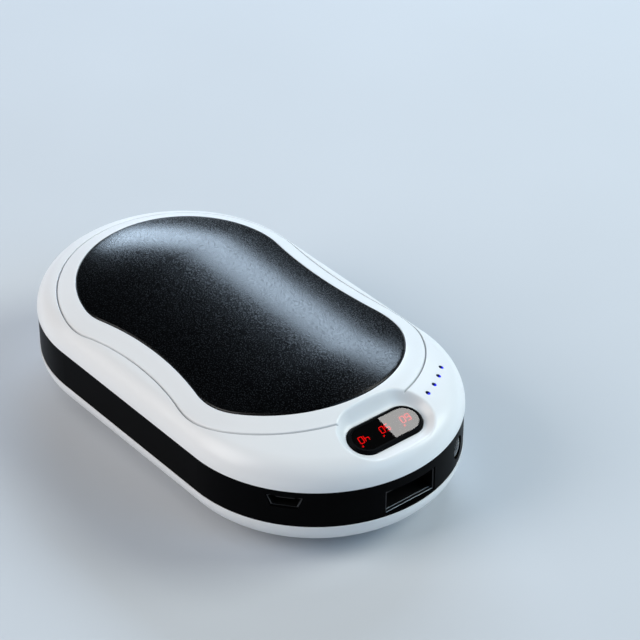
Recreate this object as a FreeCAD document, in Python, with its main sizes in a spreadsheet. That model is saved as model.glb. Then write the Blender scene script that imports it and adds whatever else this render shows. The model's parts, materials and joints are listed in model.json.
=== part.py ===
import FreeCAD, Part
import math
import os
import re

import Sketcher

Vector = FreeCAD.Vector
Rotation = FreeCAD.Rotation
Placement = FreeCAD.Placement
Rule = Sketcher.Constraint

# Rechargeable hand warmer: a pebble with a black band between two white shells, a black heat plate on each
# face, and a display button at the +X end. Millimetres, +Z up, the flat of the lower plate rests on z = 0.

# Driving dimensions
SIZES = {
    # outer body
    "body_length": 111.0,
    "body_width": 63.0,
    "band_height": 8.9,
    "top_rise": 11.3,
    "bottom_rise": 10.3,
    "top_shoulder": 6.5,
    "bottom_shoulder": 5.8,
    "rest_trim": 0.8,
    "shell_wall": 1.8,
    "band_wall": 2.2,
    "band_inset": 0.15,
    "lip_depth": 1.5,
    "lip_wall": 1.1,
    "lip_shelf": 1.2,
    "shelf_inset": 1.2,
    "fit_gap": 0.1,
    "bond_gap": 0.02,
    "overshoot": 1.0,
    "pilot_spare": 0.4,
    # heat plates and what is bonded under them
    "plate_margin": 7.1,
    "plate_front_margin": 16.4,
    "plate_rear_margin": 10.85,
    "front_corner_share": 0.65,
    "front_corner_set": 0.858,
    "rear_corner_share": 0.562,
    "rear_corner_set": 0.916,
    "waist_radius": 83.75,
    "plate_rise": 0.4,
    "plate_thickness": 2.15,
    "glue_thickness": 0.2,
    "glue_margin": 0.3,
    "ledge_width": 5.0,
    "ledge_thickness": 1.3,
    "ledge_margin": 2.0,
    "film_thickness": 0.3,
    "pad_thickness": 1.5,
    "pad_margin": 0.3,
    "groove_offset": 4.1,
    "groove_width": 0.5,
    "groove_depth": 0.4,
    "sensor_radius": 1.6,
    # display button
    "button_inset": 8.93,
    "button_tilt": 14.5,
    "button_sink": 2.09,
    "button_length": 18.2,
    "button_width": 7.8,
    "button_gap": 0.15,
    "button_travel": 0.4,
    "rim_width": 0.85,
    "rim_bevel": 0.45,
    "rim_bevel_angle": 45.0,
    "window_drop": 0.11,
    "window_thickness": 0.6,
    "window_seat": 0.35,
    "scoop_depth": 0.7,
    "scoop_margin": 0.5,
    "scoop_taper": 40.0,
    "scoop_reach": 5.0,
    "pan_floor": 1.5,
    "pan_side": 2.6,
    "flange_width": 0.9,
    "flange_thickness": 1.0,
    # display behind the window
    "light_box_width": 5.0,
    "light_box_gap": 0.6,
    "digit_height": 1.85,
    "digit_width": 1.05,
    "digit_stroke": 0.24,
    "digit_gap": 0.4,
    "digit_bar_gap": 0.16,
    "degree_radius": 0.17,
    "degree_gap": 0.22,
    "digit_depth": 0.1,
    "group_pitch": 5.55,
    "figure_setback": 0.5,
    "figure_aside": 0.15,
    "display_board_drop": 5.4,
    "display_board_thickness": 1.0,
    "display_board_rear": 5.4,
    "display_board_front": 3.2,
    "display_board_half_length": 12.6,
    "display_post_x": 1.6,
    "display_post_reach": 11.4,
    "display_post_radius": 1.3,
    "display_screw_radius": 0.7,
    "display_screw_bite": 2.8,
    "switch_length": 3.2,
    "switch_width": 2.3,
    "switch_height": 1.2,
    "switch_offset": 3.9,
    "plunger_radius": 0.6,
    "plunger_engagement": 0.2,
    "plunger_gap": 0.05,
    "pin_size": 0.5,
    "pin_pitch": 1.27,
    "pin_gap": 1.05,
    "pin_setback": 4.6,
    "pin_end_gap": 0.2,
    # cells
    "cell_side_room": 12.9,
    "cell_bulge": 9.5,
    "cell_gap": 0.4,
    "cell_rear_inset": 15.3,
    "cell_front_gap": 2.0,
    "cell_lift": 0.2,
    "cell_nub": 0.8,
    "cell_nub_radius": 3.2,
    "cradle_gap": 3.4,
    "strip_thickness": 0.3,
    "strip_half_width": 12.0,
    "tab_reach": 3.0,
    "tab_half_width": 1.2,
    "tab_side": 6.0,
    "front_strip_half_height": 2.6,
    "rear_strip_half_height": 4.4,
    "lead_radius": 0.6,
    "lead_bend": 3.0,
    "lead_rise": 3.4,
    "lead_end_gap": 3.8,
    "lead_drop_length": 8.0,
    # control board
    "board_bay": 28.5,
    "board_level": 3.4,
    "board_thickness": 1.2,
    "board_clearance": 0.6,
    "board_boss_inset": 4.8,
    "board_boss_angle": 68.0,
    "nose_boss_gap": 0.6,
    "board_boss_radius": 2.2,
    "board_screw_radius": 0.9,
    "board_screw_length": 5.0,
    "board_screw_head": 1.8,
    "board_screw_head_height": 1.0,
    "screw_play": 0.15,
    "thread_gap": 0.05,
    "chip_size": 6.0,
    "chip_height": 1.2,
    "chip_gap": 4.8,
    "chip_inset": 18.2,
    "inductor_size": 7.0,
    "inductor_height": 4.0,
    "capacitor_radius": 2.0,
    "capacitor_height": 4.5,
    "capacitor_gap": 3.3,
    "capacitor_inset": 10.5,
    "heater_lead_radius": 0.5,
    "heater_lead_inset": 2.15,
    "heater_lead_y": 4.0,
    # power outlet, inlet and torch in the band
    "usb_width": 13.1,
    "usb_height": 5.7,
    "usb_wall": 0.3,
    "usb_depth": 14.0,
    "usb_inset": 1.2,
    "usb_level": 3.4,
    "usb_ear": 1.8,
    "usb_ear_start": 3.0,
    "usb_ear_length": 3.0,
    "tongue_side_gap": 0.7,
    "tongue_thickness": 1.84,
    "tongue_rise": 0.1,
    "tongue_inset": 2.0,
    "tongue_root": 3.6,
    "contact_width": 1.0,
    "contact_thickness": 0.15,
    "contact_pitch": 2.3,
    "contact_setback": 0.8,
    "micro_angle": 51.0,
    "micro_width": 7.6,
    "micro_floor_width": 5.6,
    "micro_height": 2.6,
    "micro_wall": 0.25,
    "micro_depth": 5.6,
    "micro_inset": 0.7,
    "micro_tongue_width": 3.8,
    "micro_tongue_thickness": 0.6,
    "micro_tongue_inset": 1.0,
    "micro_tongue_level": 1.56,
    "micro_tongue_root": 1.4,
    "torch_angle": 32.0,
    "torch_lens_radius": 2.5,
    "torch_flange": 0.6,
    "torch_flange_thickness": 1.0,
    "torch_lens_crown": 0.5,
    "torch_led_width": 3.0,
    "torch_led_depth": 1.1,
    "torch_plate_width": 6.0,
    "torch_plate_height": 5.6,
    "torch_plate_thickness": 0.8,
    # indicator lights
    "indicator_offset": 8.16,
    "indicator_start": 24.15,
    "indicator_pitch": 6.24,
    "indicator_radius": 0.5,
    "indicator_flush": 0.02,
    "guide_bar_width": 1.6,
    "guide_bar_height": 1.4,
    "guide_bar_level": 0.9,
    "guide_end_turn": 2.45,
    "indicator_led_length": 1.6,
    "indicator_led_width": 0.8,
    "indicator_led_height": 0.6,
    # case screws, hidden under the lower plate
    "case_boss_radius": 2.7,
    "case_screw_radius": 1.1,
    "case_screw_head": 1.9,
    "case_screw_head_height": 1.2,
    "case_screw_seat": 3.3,
    "case_screw_reach": 7.5,
}

# Places and sizes that follow from the driving dimensions
PLACES = {
    "half_width": "body_width / 2",
    "straight": "(body_length - body_width) / 2",
    "nose": "body_length / 2",
    "top_crown": "(half_width^2 + top_rise^2 - 2 * half_width * top_shoulder)"
                 " / (2 * (top_rise - top_shoulder))",
    "bottom_crown": "(half_width^2 + bottom_rise^2 - 2 * half_width * bottom_shoulder)"
                    " / (2 * (bottom_rise - bottom_shoulder))",
    "band_low": "bottom_rise - rest_trim",
    "band_top": "band_low + band_height",
    "middle": "band_low + band_height / 2",
    "band_inside": "half_width - band_wall",
    "lobe_radius": "half_width - plate_margin",
    "front_lobe": "nose - plate_front_margin - lobe_radius",
    "rear_lobe": "plate_rear_margin + lobe_radius - nose",
    "plate_middle": "(front_lobe + rear_lobe) / 2",
    "front_tip": "nose - plate_front_margin",
    "front_corner": "front_corner_share * lobe_radius",
    "front_corner_x": "front_tip - front_corner_set * lobe_radius",
    "front_corner_y": "lobe_radius - front_corner",
    "front_tip_x": "((front_tip - front_corner)^2 - front_corner_x^2 - front_corner_y^2)"
                   " / (2 * (front_tip - front_corner - front_corner_x))",
    "rear_tip": "plate_rear_margin - nose",
    "rear_corner": "rear_corner_share * lobe_radius",
    "rear_corner_x": "rear_tip + rear_corner_set * lobe_radius",
    "rear_corner_y": "lobe_radius - rear_corner",
    "rear_tip_x": "((rear_tip + rear_corner)^2 - rear_corner_x^2 - rear_corner_y^2)"
                  " / (2 * (rear_tip + rear_corner - rear_corner_x))",
    "plate_back": "plate_thickness - plate_rise",
    "ledge_sink": "plate_back + glue_thickness",
    "shell_inside": "ledge_sink + ledge_thickness",
    "film_sink": "plate_back + 2 * bond_gap",
    "pad_sink": "film_sink + film_thickness + bond_gap",
    "pad_back": "pad_sink + pad_thickness",
    "cradle_sink": "max(pad_back; shell_inside) + bond_gap",
    "boss_side": "lobe_radius - ledge_width / 2",
    "cradle_half_width": "boss_side - case_boss_radius - cradle_gap",
    "screw_seat_level": "band_low - case_screw_seat",
    "screw_tip": "middle + case_screw_reach",
    "button_x": "nose - button_inset",
    "button_z": "band_top + top_rise - top_crown + sqrt(top_crown^2 - (button_x - straight)^2) - button_sink",
    "button_reach": "(button_length - button_width) / 2",
    "pan_back": "scoop_depth + pan_floor",
    "flange_top": "pan_back + fit_gap",
    "cap_back": "flange_top + flange_thickness",
    "window_back": "window_thickness + bond_gap",
    "aperture_radius": "button_width / 2 - rim_width - window_seat",
    "light_box_top": "window_back + light_box_gap",
    "display_board_back": "display_board_drop + display_board_thickness",
    "switch_top": "display_board_drop - switch_height",
    "plunger_top": "cap_back + plunger_gap",
    "board_low": "band_low + board_level",
    "board_top": "board_low + board_thickness",
    "board_middle": "board_low + board_thickness / 2",
    "board_rear": "nose - board_bay",
    "board_radius": "band_inside - board_clearance",
    "cell_level": "middle + cell_lift",
    "cell_diameter": "min((body_width - cell_gap) / 2 - cell_side_room; band_height + cell_bulge)",
    "cell_side": "(cell_diameter + cell_gap) / 2",
    "cell_rear": "cell_rear_inset - nose",
    "cell_front": "board_rear - cell_front_gap",
    "usb_front": "nose - usb_inset",
    "usb_back": "usb_front - usb_depth",
    "usb_middle": "band_low + usb_level",
    "tongue_width": "usb_width - 2 * usb_wall - 2 * tongue_side_gap",
    "board_boss_reach": "band_inside - board_boss_inset",
    "nose_boss_y": "-(usb_width / 2 + usb_ear + board_screw_head + nose_boss_gap)",
    "nose_boss_x": "straight + sqrt(board_boss_reach^2 - nose_boss_y^2)",
    "chip_x": "usb_back - chip_gap",
    "chip_y": "board_radius - chip_inset",
    "capacitor_x": "usb_back - capacitor_gap",
    "capacitor_y": "board_radius - capacitor_inset",
    "heater_lead_x": "front_lobe + lobe_radius - ledge_width - heater_lead_inset",
    "lead_end": "usb_back - lead_end_gap",
    "lead_drop_start": "lead_end - lead_drop_length",
    "micro_front": "half_width - micro_inset",
    "micro_back": "micro_front - micro_depth",
    "torch_seat": "sqrt(band_inside^2 - (torch_lens_radius + torch_flange)^2) - fit_gap",
    "torch_back": "torch_seat - torch_flange_thickness",
    "torch_led_front": "torch_back - fit_gap",
    "torch_plate_front": "torch_led_front - torch_led_depth",
    "torch_plate_back": "torch_plate_front - torch_plate_thickness",
    "indicator_reach": "lobe_radius + indicator_offset",
    "lead_level": "cell_level + lead_rise",
    "pin_x": "button_x - pin_setback",
    "pin_first": "usb_width / 2 + pin_gap",
    "pin_top": "button_z - (display_board_back + pin_end_gap) / cos(button_tilt * 1 deg)"
               " + (pin_setback - pin_size) * tan(button_tilt * 1 deg)",
}

doc = FreeCAD.newDocument("hand_warmer")
nodes = []


def ex(text, inside_places=False):
    """Write a formula of size names the way the document spells them."""
    def spelled(match):
        word = match.group()
        if word in SIZES:
            return "Sizes." + word
        if word in PLACES and not inside_places:
            return "Places." + word
        return word
    return re.sub(r"[a-z][a-z_]*", spelled, text)


def fill_sheet(name, cells):
    sheet = doc.addObject("Spreadsheet::Sheet", name)
    for row, (alias, content) in enumerate(cells.items(), start=1):
        sheet.set(f"A{row}", alias)
        sheet.set(f"B{row}", content)
        sheet.setAlias(f"B{row}", alias)
    doc.recompute()
    return sheet


sizes = fill_sheet("Sizes", {alias: str(number) for alias, number in SIZES.items()})
places = fill_sheet("Places", {alias: "=" + ex(text, True) for alias, text in PLACES.items()})


# Helpers: every size and place goes in as a formula of the sheets

def bind(item, **formulas):
    for name, text in formulas.items():
        item.setExpression(name, ex(text))
    return item


def place(item, x="0", y="0", z="0"):
    for name, text in (("x", x), ("y", y), ("z", z)):
        item.setExpression("Placement.Base." + name, ex(text))
    return item


def tilt(*items):
    """Lay pieces drawn about the button's top centre into the tilted plane of the button."""
    holder = group("tilted", items)
    holder.Placement = Placement(Vector(), Rotation(Vector(0, 1, 0), sizes.button_tilt))
    holder.setExpression("Placement.Rotation.Angle", ex("button_tilt"))
    return place(holder, "button_x", "0", "button_z")


def swing(angle, axis, *items):
    """Turn pieces drawn along +X from the axis of the round nose to their own angle round the band."""
    holder = group("turned", items)
    holder.Placement = Placement(Vector(), Rotation(Vector(0, 0, axis), getattr(sizes, angle)))
    holder.setExpression("Placement.Rotation.Angle", ex(angle))
    return place(holder, "straight")


def to_torch(*items):
    return swing("torch_angle", 1, *items)


def to_micro(*items):
    return swing("micro_angle", -1, *items)


def node(item, label):
    item.Label = label
    nodes.append(item)
    return item


def box(name, x, y, z):
    item = doc.addObject("Part::Box", name)
    bind(item, Length=f"({x[1]}) - ({x[0]})", Width=f"({y[1]}) - ({y[0]})", Height=f"({z[1]}) - ({z[0]})")
    return place(item, x[0], y[0], z[0])


def centred(text, half):
    return f"({text}) - ({half})", f"({text}) + ({half})"


def cylinder(name, radius, x, y, z):
    item = bind(doc.addObject("Part::Cylinder", name), Radius=radius, Height=f"({z[1]}) - ({z[0]})")
    return place(item, x, y, z[0])


def rod_x(name, radius, x, y, z):
    item = bind(doc.addObject("Part::Cylinder", name), Radius=radius, Height=f"({x[1]}) - ({x[0]})")
    item.Placement = Placement(Vector(), Rotation(Vector(0, 1, 0), 90))
    return place(item, x[0], y, z)


def fuse(name, *items):
    item = doc.addObject("Part::MultiFuse", name)
    item.Shapes = list(items)
    item.Refine = True
    return item


def cut(name, base, *tools):
    for tool in tools:
        item = doc.addObject("Part::Cut", name)
        item.Base = base
        item.Tool = tool
        item.Refine = False
        base = item
    return base


def common(name, first, second):
    item = doc.addObject("Part::Common", name)
    item.Base = first
    item.Tool = second
    item.Refine = False
    return item


def group(name, items):
    item = doc.addObject("Part::Compound", name)
    item.Links = list(items)
    return item


def measure(sketch, rule, name, text):
    sketch.renameConstraint(sketch.addConstraint(rule), name)
    sketch.setExpression("Constraints." + name, ex(text))


def slot_outline(name, reach, radius, along_x):
    """A straight slot: half length between its arc centres, and its radius."""
    sketch = doc.addObject("Sketcher::SketchObject", name)
    far, wide = 10.0, 4.0
    turn = 0.0 if along_x else math.pi / 2
    spin = Rotation(Vector(0, 0, 1), math.degrees(turn))
    right, left = spin.multVec(Vector(far, 0, 0)), spin.multVec(Vector(-far, 0, 0))
    side = spin.multVec(Vector(0, wide, 0))
    up = Vector(0, 0, 1)
    sketch.addGeometry([
        Part.ArcOfCircle(Part.Circle(right, up, wide), turn - math.pi / 2, turn + math.pi / 2),
        Part.LineSegment(right + side, left + side),
        Part.ArcOfCircle(Part.Circle(left, up, wide), turn + math.pi / 2, turn + 3 * math.pi / 2),
        Part.LineSegment(left - side, right - side),
    ], False)
    sketch.addConstraint([Rule("Tangent", here, 2, (here + 1) % 4, 1) for here in range(4)])
    sketch.addConstraint([
        Rule("PointOnObject", 0, 3, -1 if along_x else -2),
        Rule("Symmetric", 0, 3, 2, 3, -1, 1),
        Rule("Equal", 0, 2),
    ])
    measure(sketch, Rule("DistanceX" if along_x else "DistanceY", -1, 1, 0, 3, far), "reach", reach)
    measure(sketch, Rule("Radius", 0, wide), "radius", radius)
    return sketch


def waist_centre():
    """Centre of the arc that touches the front and the rear corner arc from outside, on the +Y side."""
    front = Vector(places.front_corner_x, places.front_corner_y, 0)
    rear = Vector(places.rear_corner_x, places.rear_corner_y, 0)
    front_far, rear_far = places.front_corner + sizes.waist_radius, places.rear_corner + sizes.waist_radius
    span = front.distanceToPoint(rear)
    along = (front_far ** 2 - rear_far ** 2 + span ** 2) / (2 * span)
    way = (rear - front).normalize()
    return front + way * along + Vector(way.y, -way.x, 0) * math.sqrt(front_far ** 2 - along ** 2)


def peanut_outline(name, growth):
    """The heat plate's outline in tangent arcs, grown outward: two tips, four corners, two waists."""
    sketch = doc.addObject("Sketcher::SketchObject", name)
    waist = waist_centre()
    front = (places.front_corner_x, places.front_corner_y)
    rear = (places.rear_corner_x, places.rear_corner_y)
    front_tip, rear_tip = places.front_tip_x, places.rear_tip_x
    front_turn = math.atan2(front[1], front[0] - front_tip)
    rear_turn = math.atan2(rear[1], rear[0] - rear_tip)
    front_meet = math.atan2(waist.y - front[1], waist.x - front[0])
    rear_meet = math.atan2(waist.y - rear[1], waist.x - rear[0])
    half, whole, up = math.pi, 2 * math.pi, Vector(0, 0, 1)

    def arc(x, y, radius, first, last):
        return Part.ArcOfCircle(Part.Circle(Vector(x, y, 0), up, radius), first, last)

    sketch.addGeometry([
        arc(front_tip, 0, places.front_tip - front_tip, -front_turn, front_turn),
        arc(front[0], front[1], places.front_corner, front_turn, front_meet),
        arc(waist.x, waist.y, sizes.waist_radius, half + rear_meet, half + front_meet),
        arc(rear[0], rear[1], places.rear_corner, rear_meet, rear_turn),
        arc(rear_tip, 0, rear_tip - places.rear_tip, rear_turn, whole - rear_turn),
        arc(rear[0], -rear[1], places.rear_corner, whole - rear_turn, whole - rear_meet),
        arc(waist.x, -waist.y, sizes.waist_radius, half - front_meet, half - rear_meet),
        arc(front[0], -front[1], places.front_corner, whole - front_meet, whole - front_turn),
    ], False)
    sketch.addConstraint([
        Rule("Tangent", 0, 2, 1, 1),
        Rule("Tangent", 1, 2, 2, 2),
        Rule("Tangent", 2, 1, 3, 1),
        Rule("Tangent", 3, 2, 4, 1),
        Rule("Tangent", 4, 2, 5, 1),
        Rule("Tangent", 5, 2, 6, 2),
        Rule("Tangent", 6, 1, 7, 1),
        Rule("Tangent", 7, 2, 0, 1),
        Rule("PointOnObject", 0, 3, -1),
        Rule("PointOnObject", 4, 3, -1),
        Rule("Equal", 1, 7),
        Rule("Equal", 3, 5),
        Rule("Equal", 2, 6),
        Rule("Vertical", 1, 3, 7, 3),
        Rule("Vertical", 3, 3, 5, 3),
    ])
    measure(sketch, Rule("DistanceX", -1, 1, 0, 3, front_tip), "front", "front_tip_x")
    measure(sketch, Rule("DistanceX", 4, 3, 0, 3, front_tip - rear_tip), "tips", "front_tip_x - rear_tip_x")
    measure(sketch, Rule("DistanceX", -1, 1, 1, 3, front[0]), "front_corner", "front_corner_x")
    measure(sketch, Rule("DistanceX", 3, 3, 1, 3, front[0] - rear[0]), "corners",
            "front_corner_x - rear_corner_x")
    measure(sketch, Rule("Radius", 0, places.front_tip - front_tip), "front_tip",
            f"front_tip - front_tip_x + ({growth})")
    measure(sketch, Rule("Radius", 1, places.front_corner), "front_turn", f"front_corner + ({growth})")
    measure(sketch, Rule("Radius", 2, sizes.waist_radius), "waist", f"waist_radius - ({growth})")
    measure(sketch, Rule("Radius", 3, places.rear_corner), "rear_turn", f"rear_corner + ({growth})")
    measure(sketch, Rule("Radius", 4, rear_tip - places.rear_tip), "rear_tip",
            f"rear_tip_x - rear_tip + ({growth})")
    return sketch


def prism(name, sketch, low, high, taper=None):
    item = doc.addObject("Part::Extrusion", name)
    item.Base = sketch
    item.DirMode = "Normal"
    item.Solid = True
    bind(item, LengthFwd=f"({high}) - ({low})")
    if taper:
        bind(item, TaperAngle=taper)
    place(sketch, z=low)
    return item


def slot(name, reach, radius, low, high, along_x=False, taper=None):
    return prism(name, slot_outline(name + "_outline", reach, radius, along_x), low, high, taper)


def peanut(name, growth):
    """A peanut prism that passes through the whole height of the body."""
    return prism(name, peanut_outline(name + "_outline", growth), "-body_width", "body_width")


def dome_profile(side, name, inset):
    """Half the section of a dome: a wide crown arc into a tight shoulder arc, both sunk by the inset."""
    sketch = doc.addObject("Sketcher::SketchObject", name)
    sketch.Placement = Placement(Vector(), Rotation(Vector(1, 0, 0), 90))
    wide, rise = places.half_width, getattr(sizes, f"{side}_rise")
    crown, shoulder = getattr(places, f"{side}_crown"), getattr(sizes, f"{side}_shoulder")
    meet = math.atan2(crown - rise, wide - shoulder)
    up = Vector(0, 0, 1)
    sketch.addGeometry([
        Part.ArcOfCircle(Part.Circle(Vector(0, rise - crown, 0), up, crown), meet, math.pi / 2),
        Part.ArcOfCircle(Part.Circle(Vector(wide - shoulder, 0, 0), up, shoulder), 0, meet),
        Part.LineSegment(Vector(0, rise, 0), Vector()),
        Part.LineSegment(Vector(), Vector(wide, 0, 0)),
    ], False)
    sketch.addConstraint([
        Rule("Tangent", 0, 1, 1, 2),
        Rule("PointOnObject", 0, 3, -2),
        Rule("PointOnObject", 1, 3, -1),
        Rule("Coincident", 0, 2, 2, 1),
        Rule("Coincident", 2, 2, -1, 1),
        Rule("Vertical", 2),
        Rule("Coincident", 3, 1, -1, 1),
        Rule("Coincident", 3, 2, 1, 1),
        Rule("Horizontal", 3),
    ])
    measure(sketch, Rule("DistanceX", 3, 1, 3, 2, wide), "reach", f"half_width - ({inset})")
    measure(sketch, Rule("Radius", 0, crown), "crown", f"{side}_crown - ({inset})")
    measure(sketch, Rule("Radius", 1, shoulder), "shoulder", f"{side}_shoulder - ({inset})")
    return sketch


def dome(side, name, inset):
    """The solid under the body's upper or lower dome, sunk by an inset: a straight middle and round ends."""
    name = f"{side}_{name}"
    profile = dome_profile(side, name + "_profile", inset)
    quarters = []
    for turn, offset in ((0, "straight"), (180, "-straight")):
        end = doc.addObject("Part::Revolution", name + "_end")
        end.Source = profile
        end.Axis = Vector(0, 0, 1)
        end.Angle = 180
        end.Symmetric = True
        end.Solid = True
        end.Placement = Placement(Vector(), Rotation(Vector(0, 0, 1), turn))
        quarters.append(place(end, offset))
    for turn in (90, -90):
        flank = doc.addObject("Part::Extrusion", name + "_flank")
        flank.Base = profile
        flank.DirMode = "Custom"
        flank.Dir = Vector(0, 1, 0)
        flank.Symmetric = True
        flank.Solid = True
        flank.Placement = Placement(Vector(), Rotation(Vector(0, 0, 1), turn))
        quarters.append(bind(flank, LengthFwd="2 * straight"))
    item = fuse(name, *quarters)
    item.Placement = Placement(Vector(), Rotation(Vector(1, 0, 0), 0 if side == "top" else 180))
    return place(item, z="band_top" if side == "top" else "band_low")


def skin(side, name, outer, inner, outline):
    """A piece that follows the dome between two insets, inside a plan outline."""
    layer = cut(f"{side}_{name}_layer", dome(side, name + "_outer", outer),
                dome(side, name + "_inner", inner))
    return common(f"{side}_{name}", layer, outline)


def room(side, name, inset):
    """The inside of one dome together with the height of the band, used to trim what stands in it."""
    walls = slot(f"{side}_{name}_walls", "straight", f"half_width - ({inset})", "band_low", "band_top", True)
    return fuse(f"{side}_{name}", dome(side, name + "_dome", inset), walls)


def polar(reach, angle, centre="straight"):
    return f"{centre} + {reach} * cos({angle} * 1 deg)", f"{reach} * sin({angle} * 1 deg)"


# Plan outlines shared by both faces
plate_edge = peanut("plate_edge", "0")
plate_seat_edge = peanut("plate_seat_edge", "fit_gap")
thick_edge = peanut("thick_edge", "ledge_margin")
opening_edge = peanut("opening_edge", "-ledge_width")
pad_edge = peanut("pad_edge", "-(ledge_width + pad_margin)")
glue_ring = cut("glue_ring", peanut("glue_outer", "-glue_margin"),
                peanut("glue_inner", "glue_margin - ledge_width"))
groove_ring = cut("groove_ring", peanut("groove_outer", "groove_offset + groove_width / 2"),
                  peanut("groove_inner", "groove_offset - groove_width / 2"))

case_boss_places = [(lobe, sign + "boss_side") for lobe in ("front_lobe", "rear_lobe") for sign in ("", "-")]
board_boss_places = [polar("board_boss_reach", "board_boss_angle"),
                     polar("board_boss_reach", "(-board_boss_angle)"), ("nose_boss_x", "nose_boss_y")]
indicator_places = [polar("indicator_reach", f"(indicator_start + {step} * indicator_pitch)", "front_lobe")
                    for step in range(4)]


def plain_shell(side):
    """A shell with its plate seat, the ledge round its opening, its styling groove and its locating lip."""
    thin_hollow = cut(f"{side}_thin_hollow", dome(side, "wall", "shell_wall"), thick_edge)
    seat = cut(f"{side}_seat", plate_seat_edge, dome(side, "ledge", "ledge_sink"))
    groove = cut(f"{side}_groove", groove_ring, dome(side, "groove_floor", "groove_depth"))
    hollow = cut(f"{side}_hollow", dome(side, "outside", "0"), thin_hollow,
                 dome(side, "inside", "shell_inside"), seat, opening_edge, groove)
    inner = "band_inside - fit_gap - lip_wall"
    if side == "top":
        tongue, shelf = ("band_top - lip_depth", "band_top + lip_shelf"), ("band_top", "band_top + lip_shelf")
    else:
        tongue, shelf = ("band_low - lip_shelf", "band_low + lip_depth"), ("band_low - lip_shelf", "band_low")
    lip_whole = fuse(f"{side}_lip_whole",
                     slot(f"{side}_lip_tongue", "straight", "band_inside - fit_gap", *tongue, True),
                     slot(f"{side}_lip_shelf", "straight", "half_width - shelf_inset", *shelf, True))
    lip = cut(f"{side}_lip", lip_whole, slot(f"{side}_lip_inner", "straight", inner, *tongue, True))
    return hollow, lip


def case_bosses(side):
    low, high = ("middle", "band_top + top_rise") if side == "top" else ("0", "middle - fit_gap")
    posts = [cylinder(f"{side}_boss", "case_boss_radius", x, y, (low, high)) for x, y in case_boss_places]
    return common(f"{side}_bosses", group(f"{side}_boss_posts", posts),
                  room(side, "boss_room", "ledge_sink + ledge_thickness / 4"))


def make_top_shell():
    hollow, lip = plain_shell("top")
    pan = tilt(slot("pan", "button_reach", "button_width / 2 + scoop_margin + pan_side", "-pan_back",
                    "scoop_reach"))
    pan_inside = common("pan_inside", pan, dome("top", "pan_limit", "shell_wall / 2"))
    posts = []
    for sign in ("", "-"):
        post = cylinder("display_post", "display_post_radius", "display_post_x", f"{sign}display_post_reach",
                        ("-display_board_drop + bond_gap", "scoop_reach"))
        posts.append(post)
    display_posts = common("display_posts", tilt(*posts), room("top", "post_room", "shell_wall / 2"))
    shell = fuse("top_shell_whole", hollow, lip, pan_inside, display_posts, case_bosses("top"))
    scoop = tilt(slot("scoop", "button_reach", "button_width / 2 + scoop_margin", "-scoop_depth",
                      "scoop_reach", taper="scoop_taper"))
    button_hole = tilt(slot("button_hole", "button_reach", "button_width / 2 + button_gap",
                            "-pan_back - overshoot", "scoop_reach"))
    post_holes = [cylinder("display_post_hole", "display_screw_radius + thread_gap", "display_post_x",
                           f"{sign}display_post_reach", ("-display_board_drop - overshoot",
                            "-display_board_drop + display_screw_bite + pilot_spare"))
                  for sign in ("", "-")]
    screw_holes = [cylinder("case_pilot", "case_screw_radius + thread_gap", x, y,
                            ("middle - overshoot", "screw_tip + pilot_spare")) for x, y in case_boss_places]
    light_holes = [cylinder("indicator_hole", "indicator_radius + fit_gap / 2", x, y,
                            ("band_top", "band_top + top_rise")) for x, y in indicator_places]
    shell = cut("top_shell_cuts", shell, scoop, button_hole, tilt(*post_holes),
                group("case_pilots", screw_holes), group("indicator_holes", light_holes))
    node(shell, "top_shell")


def make_bottom_shell():
    hollow, lip = plain_shell("bottom")
    posts = [cylinder("board_boss", "board_boss_radius", x, y, ("0", "board_low - bond_gap"))
             for x, y in board_boss_places]
    board_bosses = common("board_bosses", group("board_boss_posts", posts),
                          room("bottom", "board_boss_room", "shell_wall / 2"))
    usb_notch = box("usb_notch", ("usb_back", "nose"), centred("0", "usb_width / 2 + usb_ear"),
                    ("usb_middle - usb_height / 2 - fit_gap", "band_top"))
    torch_notch = to_torch(rod_x("torch_notch", "torch_lens_radius + torch_flange + 3 * fit_gap",
                                 ("torch_plate_back", "half_width"), "0", "board_middle"))
    clear_lip = cut("bottom_lip_clear", lip, usb_notch, torch_notch)
    shell = fuse("bottom_shell_whole", hollow, clear_lip, board_bosses, case_bosses("bottom"))
    head_holes = [cylinder("case_head_hole", "case_screw_head + fit_gap", x, y,
                           ("-overshoot", "screw_seat_level")) for x, y in case_boss_places]
    shaft_holes = [cylinder("case_shaft_hole", "case_screw_radius + screw_play", x, y, ("0", "band_top"))
                   for x, y in case_boss_places]
    pilots = [cylinder("board_pilot", "board_screw_radius + thread_gap", x, y,
                       ("board_top - board_screw_length - pilot_spare", "band_top"))
              for x, y in board_boss_places]
    shell = cut("bottom_shell_cuts", shell, group("case_head_holes", head_holes),
                group("case_shaft_holes", shaft_holes), group("board_pilots", pilots))
    node(shell, "bottom_shell")


def make_plate(side):
    plate = skin(side, "plate", "-plate_rise", "plate_back", plate_edge)
    if side == "bottom":
        below = box("below_rest", ("-body_length", "body_length"), ("-body_width", "body_width"),
                    ("-body_width", "0"))
        plate = cut("bottom_plate_flat", plate, below)
    node(plate, f"{side}_heat_plate")


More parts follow.
